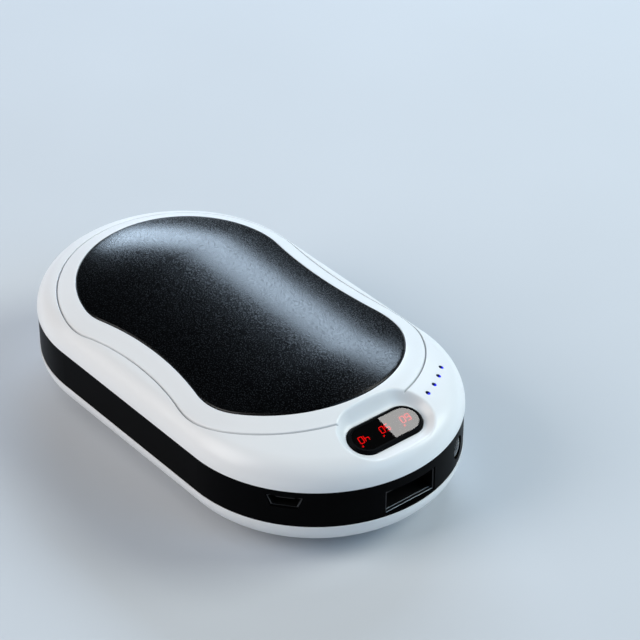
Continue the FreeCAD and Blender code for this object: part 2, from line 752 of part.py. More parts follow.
def make_heater(side):
    """The glue ring, the heater film and the insulation pad under one plate, with the film's two leads."""
    node(skin(side, "glue", "plate_back + bond_gap", "ledge_sink - bond_gap", glue_ring),
         f"{side}_plate_glue")
    node(skin(side, "film", "film_sink", "film_sink + film_thickness", pad_edge), f"{side}_heater_film")
    pad = skin(side, "pad", "pad_sink", "pad_back", pad_edge)
    above, below = ("board_top + bond_gap", "band_top + top_rise"), ("-overshoot", "board_low - bond_gap")
    level = above if side == "top" else below
    leads = [cylinder(f"{side}_lead", "heater_lead_radius", "heater_lead_x", f"{sign}heater_lead_y", level)
             for sign in ("", "-")]
    lead_holes = [cylinder(f"{side}_lead_hole", "heater_lead_radius + fit_gap", "heater_lead_x",
                           f"{sign}heater_lead_y", ("-overshoot", "band_top + top_rise"))
                  for sign in ("", "-")]
    pad = cut(f"{side}_pad_drilled", pad, group(f"{side}_lead_holes", lead_holes))
    if side == "top":
        sensor_hole = cylinder("sensor_hole", "sensor_radius + fit_gap", "plate_middle", "0",
                               ("band_top", "band_top + top_rise"))
        pad = cut("top_pad_with_sensor_hole", pad, sensor_hole)
        sensor_post = cylinder("sensor_post", "sensor_radius", "plate_middle", "0",
                               ("band_top", "band_top + top_rise"))
        node(skin("top", "sensor", "pad_sink", "pad_back", sensor_post), "heat_sensor")
    node(pad, f"{side}_insulation_pad")
    inside = room(side, "lead_room", "film_sink + film_thickness + bond_gap")
    node(common(f"{side}_leads", group(f"{side}_lead_rods", leads), inside), f"{side}_heater_leads")


def make_mid_band():
    ring = cut("band_ring",
               slot("band_outer", "straight", "half_width - band_inset", "band_low", "band_top", True),
               slot("band_inner", "straight", "band_inside", "band_low", "band_top", True))
    usb_window = box("usb_window", ("usb_back", "nose + overshoot"), centred("0", "usb_width / 2 + fit_gap"),
                     centred("usb_middle", "usb_height / 2 + fit_gap"))
    micro_window = to_micro(micro_wedge("micro_window", "-fit_gap", "half_width + overshoot", "micro_back"))
    torch_hole = to_torch(rod_x("torch_hole", "torch_lens_radius + fit_gap",
                                ("torch_back", "half_width + overshoot"), "0", "board_middle"))
    node(cut("mid_band_cuts", ring, usb_window, micro_window, torch_hole), "mid_band")


def make_cells():
    wraps = []
    for name, sign in (("left", ""), ("right", "-")):
        side = f"{sign}cell_side"
        can = rod_x(f"{name}_can", "cell_diameter / 2", ("cell_rear", "cell_front"), side, "cell_level")
        nub = rod_x(f"{name}_nub", "cell_nub_radius", ("cell_front", "cell_front + cell_nub"), side,
                    "cell_level")
        node(fuse(f"{name}_cell", can, nub), f"battery_cell_{name}")
        wraps.append(rod_x(f"{name}_cell_room", "cell_diameter / 2 + fit_gap",
                           ("cell_rear - overshoot", "cell_front + overshoot"), side, "cell_level"))
    for side in ("bottom", "top"):
        block = box(f"{side}_cradle_block", ("cell_rear", "cell_front"), centred("0", "cradle_half_width"),
                    ("0", "band_top + top_rise"))
        shaped = common(f"{side}_cradle_shape", block, dome(side, "cradle", "cradle_sink"))
        node(cut(f"{side}_cradle", shaped, *wraps), f"{side}_cell_cradle")


def make_cell_strips():
    start = "cell_front + cell_nub + bond_gap"
    bar = box("front_strip_bar", (start, f"{start} + strip_thickness"), centred("0", "strip_half_width"),
              centred("cell_level", "front_strip_half_height"))
    tab = box("front_strip_tab", (start, "board_rear + tab_reach"), centred("tab_side", "tab_half_width"),
              ("board_top + bond_gap", "board_top + bond_gap + strip_thickness"))
    node(fuse("front_strip", bar, tab), "front_cell_strip")
    node(box("rear_strip", ("cell_rear - bond_gap - strip_thickness", "cell_rear - bond_gap"),
             centred("0", "strip_half_width"), centred("cell_level", "rear_strip_half_height")),
         "rear_cell_strip")


def make_battery_lead():
    """The return lead from the rear strip, laid in the valley between the cells and down to the board."""
    level, floor = places.lead_level, places.board_top + sizes.lead_radius + sizes.bond_gap
    start = Vector(places.cell_rear + sizes.bond_gap, 0, level)
    finish = Vector(places.lead_end, 0, floor)
    drop = level - floor
    bend = sizes.lead_bend
    slant = math.acos(1 - drop / (2 * bend))
    first_centre = Vector(places.lead_drop_start, 0, level - bend)
    second_centre = first_centre + Vector(2 * bend * math.sin(slant), 0, 2 * bend * math.cos(slant))

    def on_arc(centre, sign, angle):
        return centre + Vector(bend * math.sin(angle), 0, bend * math.cos(angle)) * sign

    top_start, top_end = on_arc(first_centre, 1, 0), on_arc(first_centre, 1, slant)
    low_end = on_arc(second_centre, -1, 0)
    path = Part.Wire([
        Part.LineSegment(start, top_start).toShape(),
        Part.Arc(top_start, on_arc(first_centre, 1, slant / 2), top_end).toShape(),
        Part.Arc(top_end, on_arc(second_centre, -1, slant / 2), low_end).toShape(),
        Part.LineSegment(low_end, finish).toShape(),
    ])
    section = Part.Wire(Part.Circle(start, Vector(1, 0, 0), sizes.lead_radius).toShape())
    lead = doc.addObject("Part::Feature", "battery_lead")
    lead.Shape = path.makePipeShell([section], True, False)
    swept = math.pi * sizes.lead_radius ** 2 * path.Length
    print(f"battery lead: bend radius {bend}, volume {lead.Shape.Volume:.2f} of {swept:.2f}")
    node(lead, "battery_lead")


def make_main_board():
    disc = cylinder("board_disc", "board_radius", "straight", "0", ("board_low", "board_top"))
    through = ("board_low - overshoot", "board_top + overshoot")
    front = box("board_front", ("board_rear", "nose"), ("-half_width", "half_width"),
                ("board_low", "board_top"))
    usb_notch = box("board_usb_notch", ("usb_back - fit_gap", "nose"),
                    centred("0", "usb_width / 2 + fit_gap"), through)
    torch_slot = to_torch(box("torch_slot", ("torch_plate_back - fit_gap", "half_width"),
                              centred("0", "torch_plate_width / 2 + fit_gap"), through))
    holes = [cylinder("board_hole", "board_screw_radius + screw_play", x, y, through)
             for x, y in board_boss_places]
    board = cut("main_board_cuts", common("board_plan", disc, front), usb_notch, torch_slot,
                group("board_holes", holes))
    node(board, "main_board")

    def on_board(height):
        return "board_top + bond_gap", f"board_top + bond_gap + {height}"

    node(box("chip", centred("chip_x", "chip_size / 2"), centred("chip_y", "chip_size / 2"),
             on_board("chip_height")), "control_chip")
    node(box("inductor", centred("chip_x", "inductor_size / 2"), centred("-chip_y", "inductor_size / 2"),
             on_board("inductor_height")), "boost_inductor")
    capacitors = [cylinder("capacitor", "capacitor_radius", "capacitor_x", f"{sign}capacitor_y",
                           on_board("capacitor_height")) for sign in ("", "-")]
    node(group("capacitor_pair", capacitors), "capacitors")


def screw(name, x, y, tip, seat, radius, head_radius, head_height, head_up):
    """A pan head screw on the vertical: its shank from tip to seat, its head beyond the seat."""
    shank_ends = (tip, seat) if head_up else (seat, tip)
    head_ends = (seat, f"{seat} + {head_height}") if head_up else (f"{seat} - {head_height}", seat)
    return fuse(name, cylinder(name + "_shank", radius, x, y, shank_ends),
                cylinder(name + "_head", head_radius, x, y, head_ends))


def make_screws():
    node(group("board_screw_set", [
        screw("board_screw", x, y, "board_top - board_screw_length", "board_top + bond_gap",
              "board_screw_radius", "board_screw_head", "board_screw_head_height", True)
        for x, y in board_boss_places]),
        "board_screws")
    node(group("case_screw_set", [
        screw("case_screw", x, y, "screw_tip", "screw_seat_level - bond_gap", "case_screw_radius",
              "case_screw_head", "case_screw_head_height", False) for x, y in case_boss_places]),
        "case_screws")


def make_usb_outlet():
    half, tall = "usb_width / 2", "usb_height / 2"
    tube = cut("usb_tube", box("usb_outside", ("usb_back", "usb_front"), centred("0", half),
                               centred("usb_middle", tall)),
               box("usb_inside", ("usb_back + usb_wall", "usb_front + overshoot"),
                   centred("0", f"{half} - usb_wall"), centred("usb_middle", f"{tall} - usb_wall")))
    ears = box("usb_ears", ("usb_back + usb_ear_start", "usb_back + usb_ear_start + usb_ear_length"),
               centred("0", f"{half} + usb_ear"), ("board_top + bond_gap", "board_top + bond_gap + usb_wall"))
    ear_gap = box("usb_ear_gap", ("usb_back", "usb_front"), centred("0", f"{half} - usb_wall"),
                  ("board_low", "band_top"))
    ears = cut("usb_ear_pair", ears, ear_gap)
    node(fuse("usb_shell", tube, ears), "usb_a_shell")
    root = box("usb_root", ("usb_back + usb_wall + bond_gap", "usb_back + usb_wall + tongue_root"),
               centred("0", f"{half} - usb_wall - bond_gap"),
               centred("usb_middle", f"{tall} - usb_wall - bond_gap"))
    blade = box("usb_blade", ("usb_back + usb_wall + bond_gap", "usb_front - tongue_inset"),
                centred("0", "tongue_width / 2"),
                ("usb_middle + tongue_rise", "usb_middle + tongue_rise + tongue_thickness"))
    node(fuse("usb_tongue", root, blade), "usb_a_tongue")
    contacts = [box("usb_contact", ("usb_back + usb_wall + tongue_root + bond_gap",
                                    "usb_front - tongue_inset - contact_setback"),
                    centred(f"{step} * contact_pitch", "contact_width / 2"),
                    ("usb_middle + tongue_rise - bond_gap - contact_thickness",
                     "usb_middle + tongue_rise - bond_gap")) for step in (-1.5, -0.5, 0.5, 1.5)]
    node(group("usb_contact_set", contacts), "usb_a_contacts")


def micro_wedge(name, shrink, front, back):
    """A trapezoid bar along the inlet's axis, narrow side on the board, shrunk evenly for the inside."""
    item = doc.addObject("Part::Wedge", name)
    bind(item, Xmin=f"-micro_floor_width / 2 + {shrink}", Xmax=f"micro_floor_width / 2 - {shrink}",
         X2min=f"-micro_width / 2 + {shrink}", X2max=f"micro_width / 2 - {shrink}",
         Ymin=f"board_top + bond_gap + {shrink}", Ymax=f"board_top + bond_gap + micro_height - {shrink}",
         Zmin=back, Z2min=back, Zmax=front, Z2max=front)
    item.Placement = Placement(Vector(), Rotation(Vector(1, 1, 1), 120))
    return item


def make_micro_inlet():
    shell = cut("micro_tube", micro_wedge("micro_outside", "0", "micro_front", "micro_back"),
                micro_wedge("micro_inside", "micro_wall", "micro_front + overshoot",
                            "micro_back + micro_wall"))
    node(to_micro(shell), "micro_usb_shell")
    root = micro_wedge("micro_root", "(micro_wall + bond_gap)", "micro_back + micro_wall + micro_tongue_root",
                       "micro_back + micro_wall + bond_gap")
    middle = "board_top + bond_gap + micro_tongue_level"
    blade = box("micro_blade", ("micro_back + 2 * micro_wall", "micro_front - micro_tongue_inset"),
                centred("0", "micro_tongue_width / 2"), centred(middle, "micro_tongue_thickness / 2"))
    node(to_micro(fuse("micro_tongue", root, blade)), "micro_usb_tongue")


def make_torch():
    front = "half_width - band_inset"
    crown_radius = "(torch_lens_radius^2 + torch_lens_crown^2) / (2 * torch_lens_crown)"
    ball = bind(doc.addObject("Part::Sphere", "lens_ball"), Radius=crown_radius)
    place(ball, f"{front} - {crown_radius}", "0", "board_middle")
    barrel = common("lens_barrel", ball, rod_x("lens_rod", "torch_lens_radius", ("torch_back", front), "0",
                                               "board_middle"))
    flange = rod_x("lens_flange", "torch_lens_radius + torch_flange", ("torch_back", "torch_seat"), "0",
                   "board_middle")
    node(to_torch(fuse("torch_lens_body", barrel, flange)), "torch_lens")
    led = box("torch_led_block", ("torch_plate_front + bond_gap", "torch_led_front"),
              centred("0", "torch_led_width / 2"), centred("board_middle", "torch_led_width / 2"))
    node(to_torch(led), "torch_led")
    plate = box("torch_plate", ("torch_plate_back", "torch_plate_front"),
                centred("0", "torch_plate_width / 2"), centred("board_middle", "torch_plate_height / 2"))
    node(to_torch(plate), "torch_led_plate")


def make_indicators():
    foot = "board_top + indicator_led_height + 3 * bond_gap"
    rods = [cylinder("guide_rod", "indicator_radius", x, y, (foot, "band_top + top_rise"))
            for x, y in indicator_places]
    bar_ends = ("board_top + guide_bar_level", "board_top + guide_bar_level + guide_bar_height")
    sector = cylinder("guide_sector", "indicator_reach + guide_bar_width / 2", "front_lobe", "0", bar_ends)
    sector.Placement = Placement(Vector(), Rotation(Vector(0, 0, 1), sizes.indicator_start))
    bind(sector, Angle="3 * indicator_pitch + 2 * guide_end_turn")
    sector.setExpression("Placement.Rotation.Angle", ex("indicator_start - guide_end_turn"))
    core = cylinder("guide_core", "indicator_reach - guide_bar_width / 2", "front_lobe", "0", bar_ends)
    trimmed = common("guide_rods", group("guide_rod_set", rods), room("top", "guide_room", "indicator_flush"))
    node(fuse("light_guide", cut("guide_bar", sector, core), trimmed), "indicator_light_guide")
    leds = [box("indicator_led", centred(x, "indicator_led_width / 2"),
                centred(y, "indicator_led_length / 2"),
                ("board_top + bond_gap", "board_top + bond_gap + indicator_led_height"))
            for x, y in indicator_places]
    node(group("indicator_led_set", leds), "indicator_leds")


def make_button():
    half = "button_width / 2"
    stem = slot("cap_stem", "button_reach", half, "-cap_back", "-rim_bevel")
    bevel = slot("cap_bevel", "button_reach", half, "-rim_bevel", "0", taper="-rim_bevel_angle")
    flange = slot("cap_flange", "button_reach", f"{half} + flange_width", "-cap_back", "-flange_top")
    pocket = slot("window_pocket", "button_reach", f"{half} - rim_width", "-window_back", "overshoot")
    aperture = slot("light_aperture", "button_reach", "aperture_radius", "-cap_back - overshoot", "overshoot")
    cap = cut("button_cap_cuts", fuse("cap_whole", stem, bevel, flange), pocket, aperture)
    node(tilt(cap), "button_cap")
    window = slot("window", "button_reach", f"{half} - rim_width - fit_gap / 2", "-window_thickness",
                  "-window_drop")
    node(tilt(window), "display_window")


# Which of the seven bars of a digit are lit: top, top left, top right, middle, low left, low right, bottom
DIGIT_BARS = {"0": "1110111", "4": "0111010", "5": "1101011", "6": "1101111"}
READINGS = ("40", "50", "60")
LIT_LEVEL = ("-light_box_top + bond_gap", "-light_box_top + bond_gap + digit_depth")


def digit_bars(name, figure, across):
    """The lit bars of one figure, drawn upright towards +X and read towards -Y, at a place along Y."""
    half_w, half_h, line = "digit_width / 2", "digit_height / 2", "digit_stroke / 2"
    bars = []
    for lit, kind in zip(DIGIT_BARS[figure], ("top", "upper_left", "upper_right", "middle", "lower_left",
                                              "lower_right", "bottom")):
        if lit == "0":
            continue
        if kind in ("top", "middle", "bottom"):
            height = {"top": half_h, "middle": "0", "bottom": f"-({half_h})"}[kind]
            x = centred(f"{height} - figure_setback", line)
            y = centred(across, f"{half_w} - digit_bar_gap")
        else:
            near, far = ("0", half_h) if kind.startswith("upper") else (f"-({half_h})", "0")
            x = (f"{near} + digit_bar_gap - figure_setback", f"{far} - digit_bar_gap - figure_setback")
            y = centred(f"{across} + {half_w}" if kind.endswith("left") else f"{across} - {half_w}", line)
        bars.append(box(name, x, y, LIT_LEVEL))
    return bars


def make_display():
    node(tilt(slot("light_box", "button_reach", "light_box_width / 2", "-display_board_drop + bond_gap",
                   "-light_box_top")), "display_light_box")
    bars = []
    for index, reading in enumerate(READINGS):
        centre = f"{index - 1} * group_pitch + figure_aside"
        step = "(digit_width + digit_gap) / 2"
        bars += digit_bars(f"tens_{index}", reading[0], f"{centre} + {step}")
        bars += digit_bars(f"units_{index}", reading[1], f"{centre} - {step}")
        bars.append(cylinder(f"degree_{index}", "degree_radius", "digit_height / 2 - figure_setback",
                             f"{centre} - {step} - digit_width / 2 - degree_gap", LIT_LEVEL))
    node(tilt(*bars), "digit_segments")

    plate = box("display_plate", ("-display_board_rear", "display_board_front"),
                centred("0", "display_board_half_length"), ("-display_board_back", "-display_board_drop"))
    post_places = [("display_post_x", sign + "display_post_reach") for sign in ("", "-")]
    holes = [cylinder("display_hole", "display_screw_radius + screw_play", x, y,
                      ("-display_board_back - overshoot", "-display_board_drop + overshoot"))
             for x, y in post_places]
    node(tilt(cut("display_board_cuts", plate, group("display_holes", holes))), "display_board")
    screws = [screw("display_screw", x, y, "-display_board_drop + display_screw_bite",
                    "-display_board_back - bond_gap", "display_screw_radius", "2 * display_screw_radius",
                    "display_screw_radius", False) for x, y in post_places]
    node(tilt(*screws), "display_board_screws")

    switch_x = "-switch_offset"
    body = box("switch_box", centred(switch_x, "switch_width / 2"), centred("0", "switch_length / 2"),
               ("-display_board_drop + bond_gap", "-switch_top"))
    well_depth = "plunger_engagement + button_travel + fit_gap"
    well = cylinder("switch_well", "plunger_radius + fit_gap / 2", switch_x, "0",
                    (f"-switch_top - ({well_depth})", "0"))
    node(tilt(cut("switch_body_cuts", body, well)), "switch_body")
    plunger = cylinder("plunger", "plunger_radius", switch_x, "0",
                       ("-switch_top - plunger_engagement", "-plunger_top"))
    node(tilt(plunger), "switch_plunger")

    pins = [box("display_pin", centred("pin_x", "pin_size / 2"),
                centred(f"-pin_first - {step} * pin_pitch", "pin_size / 2"),
                ("board_top + bond_gap", "pin_top"))
            for step in range(4)]
    node(group("display_pin_row", pins), "display_pins")


make_top_shell()
make_bottom_shell()
make_mid_band()
for face in ("top", "bottom"):
    make_plate(face)
    make_heater(face)
make_cells()
make_cell_strips()
make_battery_lead()
make_main_board()
make_screws()
make_usb_outlet()
make_micro_inlet()
make_torch()
make_indicators()
make_button()
make_display()
doc.recompute()

faults = [item.Name for item in doc.Objects if {"Invalid", "Error"} & set(item.State)]
faults += [item.Label for item in nodes
           if item.Shape.isNull() or not item.Shape.isValid() or not item.Shape.Solids]
if faults:
    raise RuntimeError("failed objects: " + ", ".join(faults))

os.makedirs("parts", exist_ok=True)
for item in nodes:
    item.Shape.exportStep(f"parts/{item.Label}.step")
    print(f"{item.Label}: {len(item.Shape.Solids)} solids, {item.Shape.Volume:.1f} mm3")
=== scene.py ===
import json
import math
import bmesh
import bpy
import numpy as np
from mathutils import Matrix, Vector


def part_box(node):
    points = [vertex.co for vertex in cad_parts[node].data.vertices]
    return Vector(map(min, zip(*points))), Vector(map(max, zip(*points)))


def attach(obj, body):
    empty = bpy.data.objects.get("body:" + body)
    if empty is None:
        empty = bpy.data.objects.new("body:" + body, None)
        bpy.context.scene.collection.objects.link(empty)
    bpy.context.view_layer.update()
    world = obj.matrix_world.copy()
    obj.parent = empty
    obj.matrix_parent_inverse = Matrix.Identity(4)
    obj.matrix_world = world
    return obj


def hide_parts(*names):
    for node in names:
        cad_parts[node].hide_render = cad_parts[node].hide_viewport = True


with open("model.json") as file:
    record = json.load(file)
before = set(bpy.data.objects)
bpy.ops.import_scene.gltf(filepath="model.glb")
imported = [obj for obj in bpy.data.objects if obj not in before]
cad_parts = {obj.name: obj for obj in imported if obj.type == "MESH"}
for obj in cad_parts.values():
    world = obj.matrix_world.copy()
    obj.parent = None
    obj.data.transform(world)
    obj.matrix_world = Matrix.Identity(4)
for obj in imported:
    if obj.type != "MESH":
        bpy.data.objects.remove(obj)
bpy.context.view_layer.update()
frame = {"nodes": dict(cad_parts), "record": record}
nodes = frame["nodes"]
mm = 0.001
bpy.context.scene.view_settings.view_transform = "Standard"
print("stage 1: frame loaded,", len(nodes), "nodes")


class Wire:                                       # one socket of a material, usable in sums
    def __init__(self, tree, out=None):
        self.tree = tree
        self.out = out

    def add(self, kind, settings=None, sockets=None, pick=0):
        made = self.tree.nodes.new(kind)
        for key, value in (settings or {}).items():
            setattr(made, key, value)
        for key, value in (sockets or {}).items():
            if isinstance(value, Wire):
                self.tree.links.new(value.out, made.inputs[key])
            else:
                made.inputs[key].default_value = value
        return Wire(self.tree, made.outputs[pick] if len(made.outputs) else None)

    def sum(self, operation, first, second):
        return self.add("ShaderNodeMath", {"operation": operation}, {0: first, 1: second})

    def __add__(self, other):
        return self.sum("ADD", self, other)

    def __radd__(self, other):
        return self.sum("ADD", other, self)

    def __sub__(self, other):
        return self.sum("SUBTRACT", self, other)

    def __rsub__(self, other):
        return self.sum("SUBTRACT", other, self)

    def __mul__(self, other):
        return self.sum("MULTIPLY", self, other)

    def __rmul__(self, other):
        return self.sum("MULTIPLY", other, self)

    def __gt__(self, other):
        return self.sum("GREATER_THAN", self, other)


def newFinish(name):
    made = bpy.data.materials.new(name)
    made.use_nodes = True
    made.node_tree.nodes.clear()
    return made, Wire(made.node_tree)


def closeFinish(start, sockets):
    shader = start.add("ShaderNodeBsdfPrincipled", None, sockets)
    start.add("ShaderNodeOutputMaterial", None, {"Surface": shader})


def tone(colour):
    return (*colour, 1.0)


def mixTone(start, factor, first, second):        # each a plain colour or a colour socket
    first, second = (part if isinstance(part, Wire) else tone(part) for part in (first, second))
    # by number, because several of its sockets share a name
    return start.add("ShaderNodeMix", {"data_type": "RGBA"}, {0: factor, 6: first, 7: second}, 2)


def placeOf(start):                               # place in the shared frame, in metres
    return start.add("ShaderNodeTexCoord", None, None, "Object")


def grainOf(start, size, detail=2.0, rough=0.5, stretch=(1, 1, 1)):      # noise, its grain in millimetres
    spread = start.add("ShaderNodeMapping", None, {"Vector": placeOf(start), "Scale": stretch})
    sockets = {"Vector": spread, "Scale": 1 / (size * mm), "Detail": detail, "Roughness": rough}
    return start.add("ShaderNodeTexNoise", None, sockets)


def rangeOf(start, value, low, high, first=0.0, last=1.0):
    sockets = {"Value": value, "From Min": low, "From Max": high, "To Min": first, "To Max": last}
    return start.add("ShaderNodeMapRange", None, sockets)


def bumpOf(start, height, strength, depth):       # depth in millimetres
    sockets = {"Strength": strength, "Distance": depth * mm, "Height": height}
    return start.add("ShaderNodeBump", None, sockets)


# camera, at the angle of the picture
cameraSet = {"place": (0.3513, -0.2670, 0.3326), "back": (0.63493, -0.52035, 0.57105), "lens": 140.625,
             "sensor": 36, "near": 0.01}
camera = bpy.data.objects.new("camera", bpy.data.cameras.new("camera"))
bpy.context.scene.collection.objects.link(camera)
camera.data.sensor_width = cameraSet["sensor"]
camera.data.lens = cameraSet["lens"]
camera.data.clip_start = cameraSet["near"]
camera.location = cameraSet["place"]
camera.rotation_mode = "QUATERNION"
camera.rotation_quaternion = (-Vector(cameraSet["back"])).to_track_quat("-Z", "Y")
bpy.context.scene.camera = camera
print("stage 2: camera")

# the white shells: satin, slightly cloudy, with a dark line of painted shade in the groove
fineDetail = 3.0                                  # noise detail of moulded and brushed surfaces
# the groove colour, and the amount after it, darken the groove: painted shade in the crease
shellSet = {"colour": (0.80, 0.81, 0.825), "shade": (0.775, 0.79, 0.81), "groove": (0.08, 0.085, 0.10),
            "paintedGrooveShade": 0.55, "rough": 0.30, "pebbleRough": 0.08, "grooveRough": 0.2, "cloud": 14.0,
            "pebble": 0.22, "bump": (0.05, 0.02)}
shellFinish, start = newFinish("satinWhiteShell")
pebble = grainOf(start, shellSet["pebble"], fineDetail)
line = start.add("ShaderNodeAttribute", {"attribute_name": "groove"}, None, "Fac")
white = mixTone(start, grainOf(start, shellSet["cloud"]), shellSet["colour"], shellSet["shade"])
# the base colour darkens towards the groove colour by the groove attribute: painted shade in the groove
closeFinish(start, {
    "Base Color": mixTone(start, shellSet["paintedGrooveShade"] * line, white, shellSet["groove"]),
    "Roughness": shellSet["rough"] + shellSet["pebbleRough"] * pebble + shellSet["grooveRough"] * line,
    "Normal": bumpOf(start, pebble, *shellSet["bump"])})

# the black band: its low gloss keeps it black beside a pale floor
bandSet = {"colour": (0.0008, 0.0008, 0.001), "shade": (0.002, 0.002, 0.0024), "rough": 0.30,
           "cloudRough": 0.12, "gloss": 0.02, "cloud": 6.0, "pebble": 0.3, "bump": (0.06, 0.02)}
bandFinish, start = newFinish("glossBlackBand")
cloud = grainOf(start, bandSet["cloud"])
pebble = grainOf(start, bandSet["pebble"], fineDetail)
closeFinish(start, {
    "Base Color": mixTone(start, cloud, bandSet["colour"], bandSet["shade"]),
    "Roughness": bandSet["rough"] + bandSet["cloudRough"] * cloud,
    "Specular IOR Level": bandSet["gloss"],
    "Normal": bumpOf(start, pebble, *bandSet["bump"])})

# the heat plates: black, blasted to a fine even grain that is rougher on its tops
plateSet = {"colour": (0.0003, 0.0004, 0.0006), "fleck": (0.003, 0.004, 0.005), "fleckRange": (0.52, 0.74),
            "rough": 0.125, "topRough": 0.17, "topRange": (0.35, 0.65), "gloss": 0.2, "grain": 0.28,
            "detail": 0.5, "bump": (1.0, 0.018)}
plateFinish, start = newFinish("grainedBlackPlate")
speck = grainOf(start, plateSet["grain"], plateSet["detail"])
fleck = rangeOf(start, speck, *plateSet["fleckRange"])
tops = rangeOf(start, speck, *plateSet["topRange"])
closeFinish(start, {
    "Base Color": mixTone(start, fleck, plateSet["colour"], plateSet["fleck"]),
    "Roughness": plateSet["rough"] + plateSet["topRough"] * tops,
    "Specular IOR Level": plateSet["gloss"],
    "Normal": bumpOf(start, speck, *plateSet["bump"])})


# finishes that several small parts share
def plasticFinish(name, dark, pale, rough, grain=0.35, bumpBy=0.08, gloss=0.5, cloudy=4.0, depth=0.03,
                  roughBy=0.1):
    made, start = newFinish(name)
    pebble = grainOf(start, grain, fineDetail)
    closeFinish(start, {
        "Base Color": mixTone(start, grainOf(start, cloudy), dark, pale),
        "Roughness": rough + roughBy * pebble,
        "Specular IOR Level": gloss,
        "Normal": bumpOf(start, pebble, bumpBy, depth)})
    return made


def metalFinish(name, dark, pale, rough, stretch=(1, 1, 1), grain=0.5, streaky=0.6, cloudy=3.0, bumpBy=0.08,
                depth=0.02, roughBy=0.15):
    made, start = newFinish(name)
    streak = grainOf(start, grain, fineDetail, streaky, stretch)
    closeFinish(start, {
        "Base Color": mixTone(start, grainOf(start, cloudy), dark, pale),
        "Metallic": 1.0,
        "Roughness": rough + roughBy * streak,
        "Normal": bumpOf(start, streak, bumpBy, depth)})
    return made


def glowFinish(name, core, edge, strength, grain=0.6, gloss=0.3, rough=0.35, roughBy=0.1):
    made, start = newFinish(name)
    cloud = grainOf(start, grain)
    glow = mixTone(start, cloud, core, edge)
    closeFinish(start, {
        "Base Color": glow,
        "Roughness": rough + roughBy * cloud,
        "Emission Color": glow,
        "Emission Strength": strength,
        "Specular IOR Level": gloss})
    return made


# the boards: copper tracks under a green mask
boardSet = {"mask": (0.01, 0.09, 0.03), "copper": (0.04, 0.2, 0.07), "tracks": 420.0, "edge": (0.05, 0.09),
            "weave": 0.25, "rough": 0.32, "weaveRough": 0.12, "bump": (0.15, 0.04)}
boardFinish, start = newFinish("greenBoard")
tracks = start.add("ShaderNodeTexVoronoi", {"distance": "MANHATTAN", "feature": "DISTANCE_TO_EDGE"},
                   {"Vector": placeOf(start), "Scale": boardSet["tracks"]})
track = rangeOf(start, tracks, *boardSet["edge"], 1.0, 0.0)
closeFinish(start, {
    "Base Color": mixTone(start, track, boardSet["mask"], boardSet["copper"]),
    "Roughness": boardSet["rough"] + boardSet["weaveRough"] * grainOf(start, boardSet["weave"]),
    "Normal": bumpOf(start, track, *boardSet["bump"])})

# the torch's clear lens
lensSet = {"tint": (0.95, 0.96, 0.97), "shade": (0.912, 0.9216, 0.9312), "cloud": 5.0, "rough": 0.03,
           "ior": 1.49}
lensFinish, start = newFinish("torchLens")
closeFinish(start, {
    "Base Color": mixTone(start, grainOf(start, lensSet["cloud"]), lensSet["tint"], lensSet["shade"]),
    "Roughness": lensSet["rough"],
    "IOR": lensSet["ior"],
    "Transmission Weight": 1.0})

# the four indicator tips, on a circle round a point of the spine: glowing blue, with painted shade on their
# inner side and painted light on their outer side, as if each sat in a recess
tipSet = {"mid": 14.7, "reach": 32.56, "start": 24.15, "pitch": 6.24, "count": 4, "radius": 0.55,
          "turns": 24, "hole": (17.0, 32.0), "dark": (0.0, 0.0004, 0.012), "lit": (0.0, 0.01, 0.9),
          "paintedShadeRamp": (-0.05, 0.5), "glow": 0.75, "rough": 0.4, "gloss": 0.05}
tipFinish, start = newFinish("blueTips")
flat = start.add("ShaderNodeVectorMath", {"operation": "MULTIPLY"}, {0: placeOf(start), 1: (1, 1, 0)})
reach = start.add("ShaderNodeVectorMath", {"operation": "DISTANCE"},
                  {0: flat, 1: (tipSet["mid"] * mm, 0, 0)}, "Value")
# painted shade on the inner side of each tip and painted light on its outer side, ramped by distance from
# the circle's middle
lit = rangeOf(start, reach, *((tipSet["reach"] + past) * mm for past in tipSet["paintedShadeRamp"]))
glow = mixTone(start, lit, tipSet["dark"], tipSet["lit"])
closeFinish(start, {
    "Base Color": glow,
    "Roughness": tipSet["rough"],
    "Emission Color": glow,
    "Emission Strength": tipSet["glow"],
    "Specular IOR Level": tipSet["gloss"]})

# the display button: its middle in x and z, its tilt, and how far its straight part reaches in y
buttonSet = {"centre": (46.57, 24.08), "tilt": math.radians(14.5), "reach": 5.2}
midX, midZ = buttonSet["centre"]
tiltSin, tiltCos = math.sin(buttonSet["tilt"]), math.cos(buttonSet["tilt"])


def buttonPoint(along, y, level):                 # from the button's tilted face to the shared frame
    x = midX + along * tiltCos + level * tiltSin
    z = midZ - along * tiltSin + level * tiltCos
    return x * mm, y * mm, z * mm


# the display's window: smoked, with a black border where it sits in the cap
windowSet = {"tint": (0.06, 0.058, 0.058), "shade": (0.058, 0.056, 0.056), "cloud": 5.0, "ior": 1.5,
             "clear": 2.98, "border": (0.001, 0.001, 0.0012), "borderRough": 0.5, "borderGloss": 0.05}
windowFinish, start = newFinish("smokedWindow")
place = placeOf(start)
sloped = start.add("ShaderNodeVectorMath", {"operation": "DOT_PRODUCT"},
                   {0: place, 1: (tiltCos, 0, -tiltSin)}, "Value")
along = sloped - (midX * tiltCos - midZ * tiltSin) * mm
across = start.add("ShaderNodeMath", {"operation": "ABSOLUTE"},
                   {0: start.add("ShaderNodeSeparateXYZ", None, {0: place}, "Y")})
past = start.sum("MAXIMUM", across - buttonSet["reach"] * mm, 0.0)
border = along * along + past * past > (windowSet["clear"] * mm) ** 2
smoked = mixTone(start, grainOf(start, windowSet["cloud"]), windowSet["tint"], windowSet["shade"])
clear = start.add("ShaderNodeBsdfPrincipled", None, {
    "Base Color": smoked, "Roughness": 0.0, "IOR": windowSet["ior"], "Transmission Weight": 1.0})
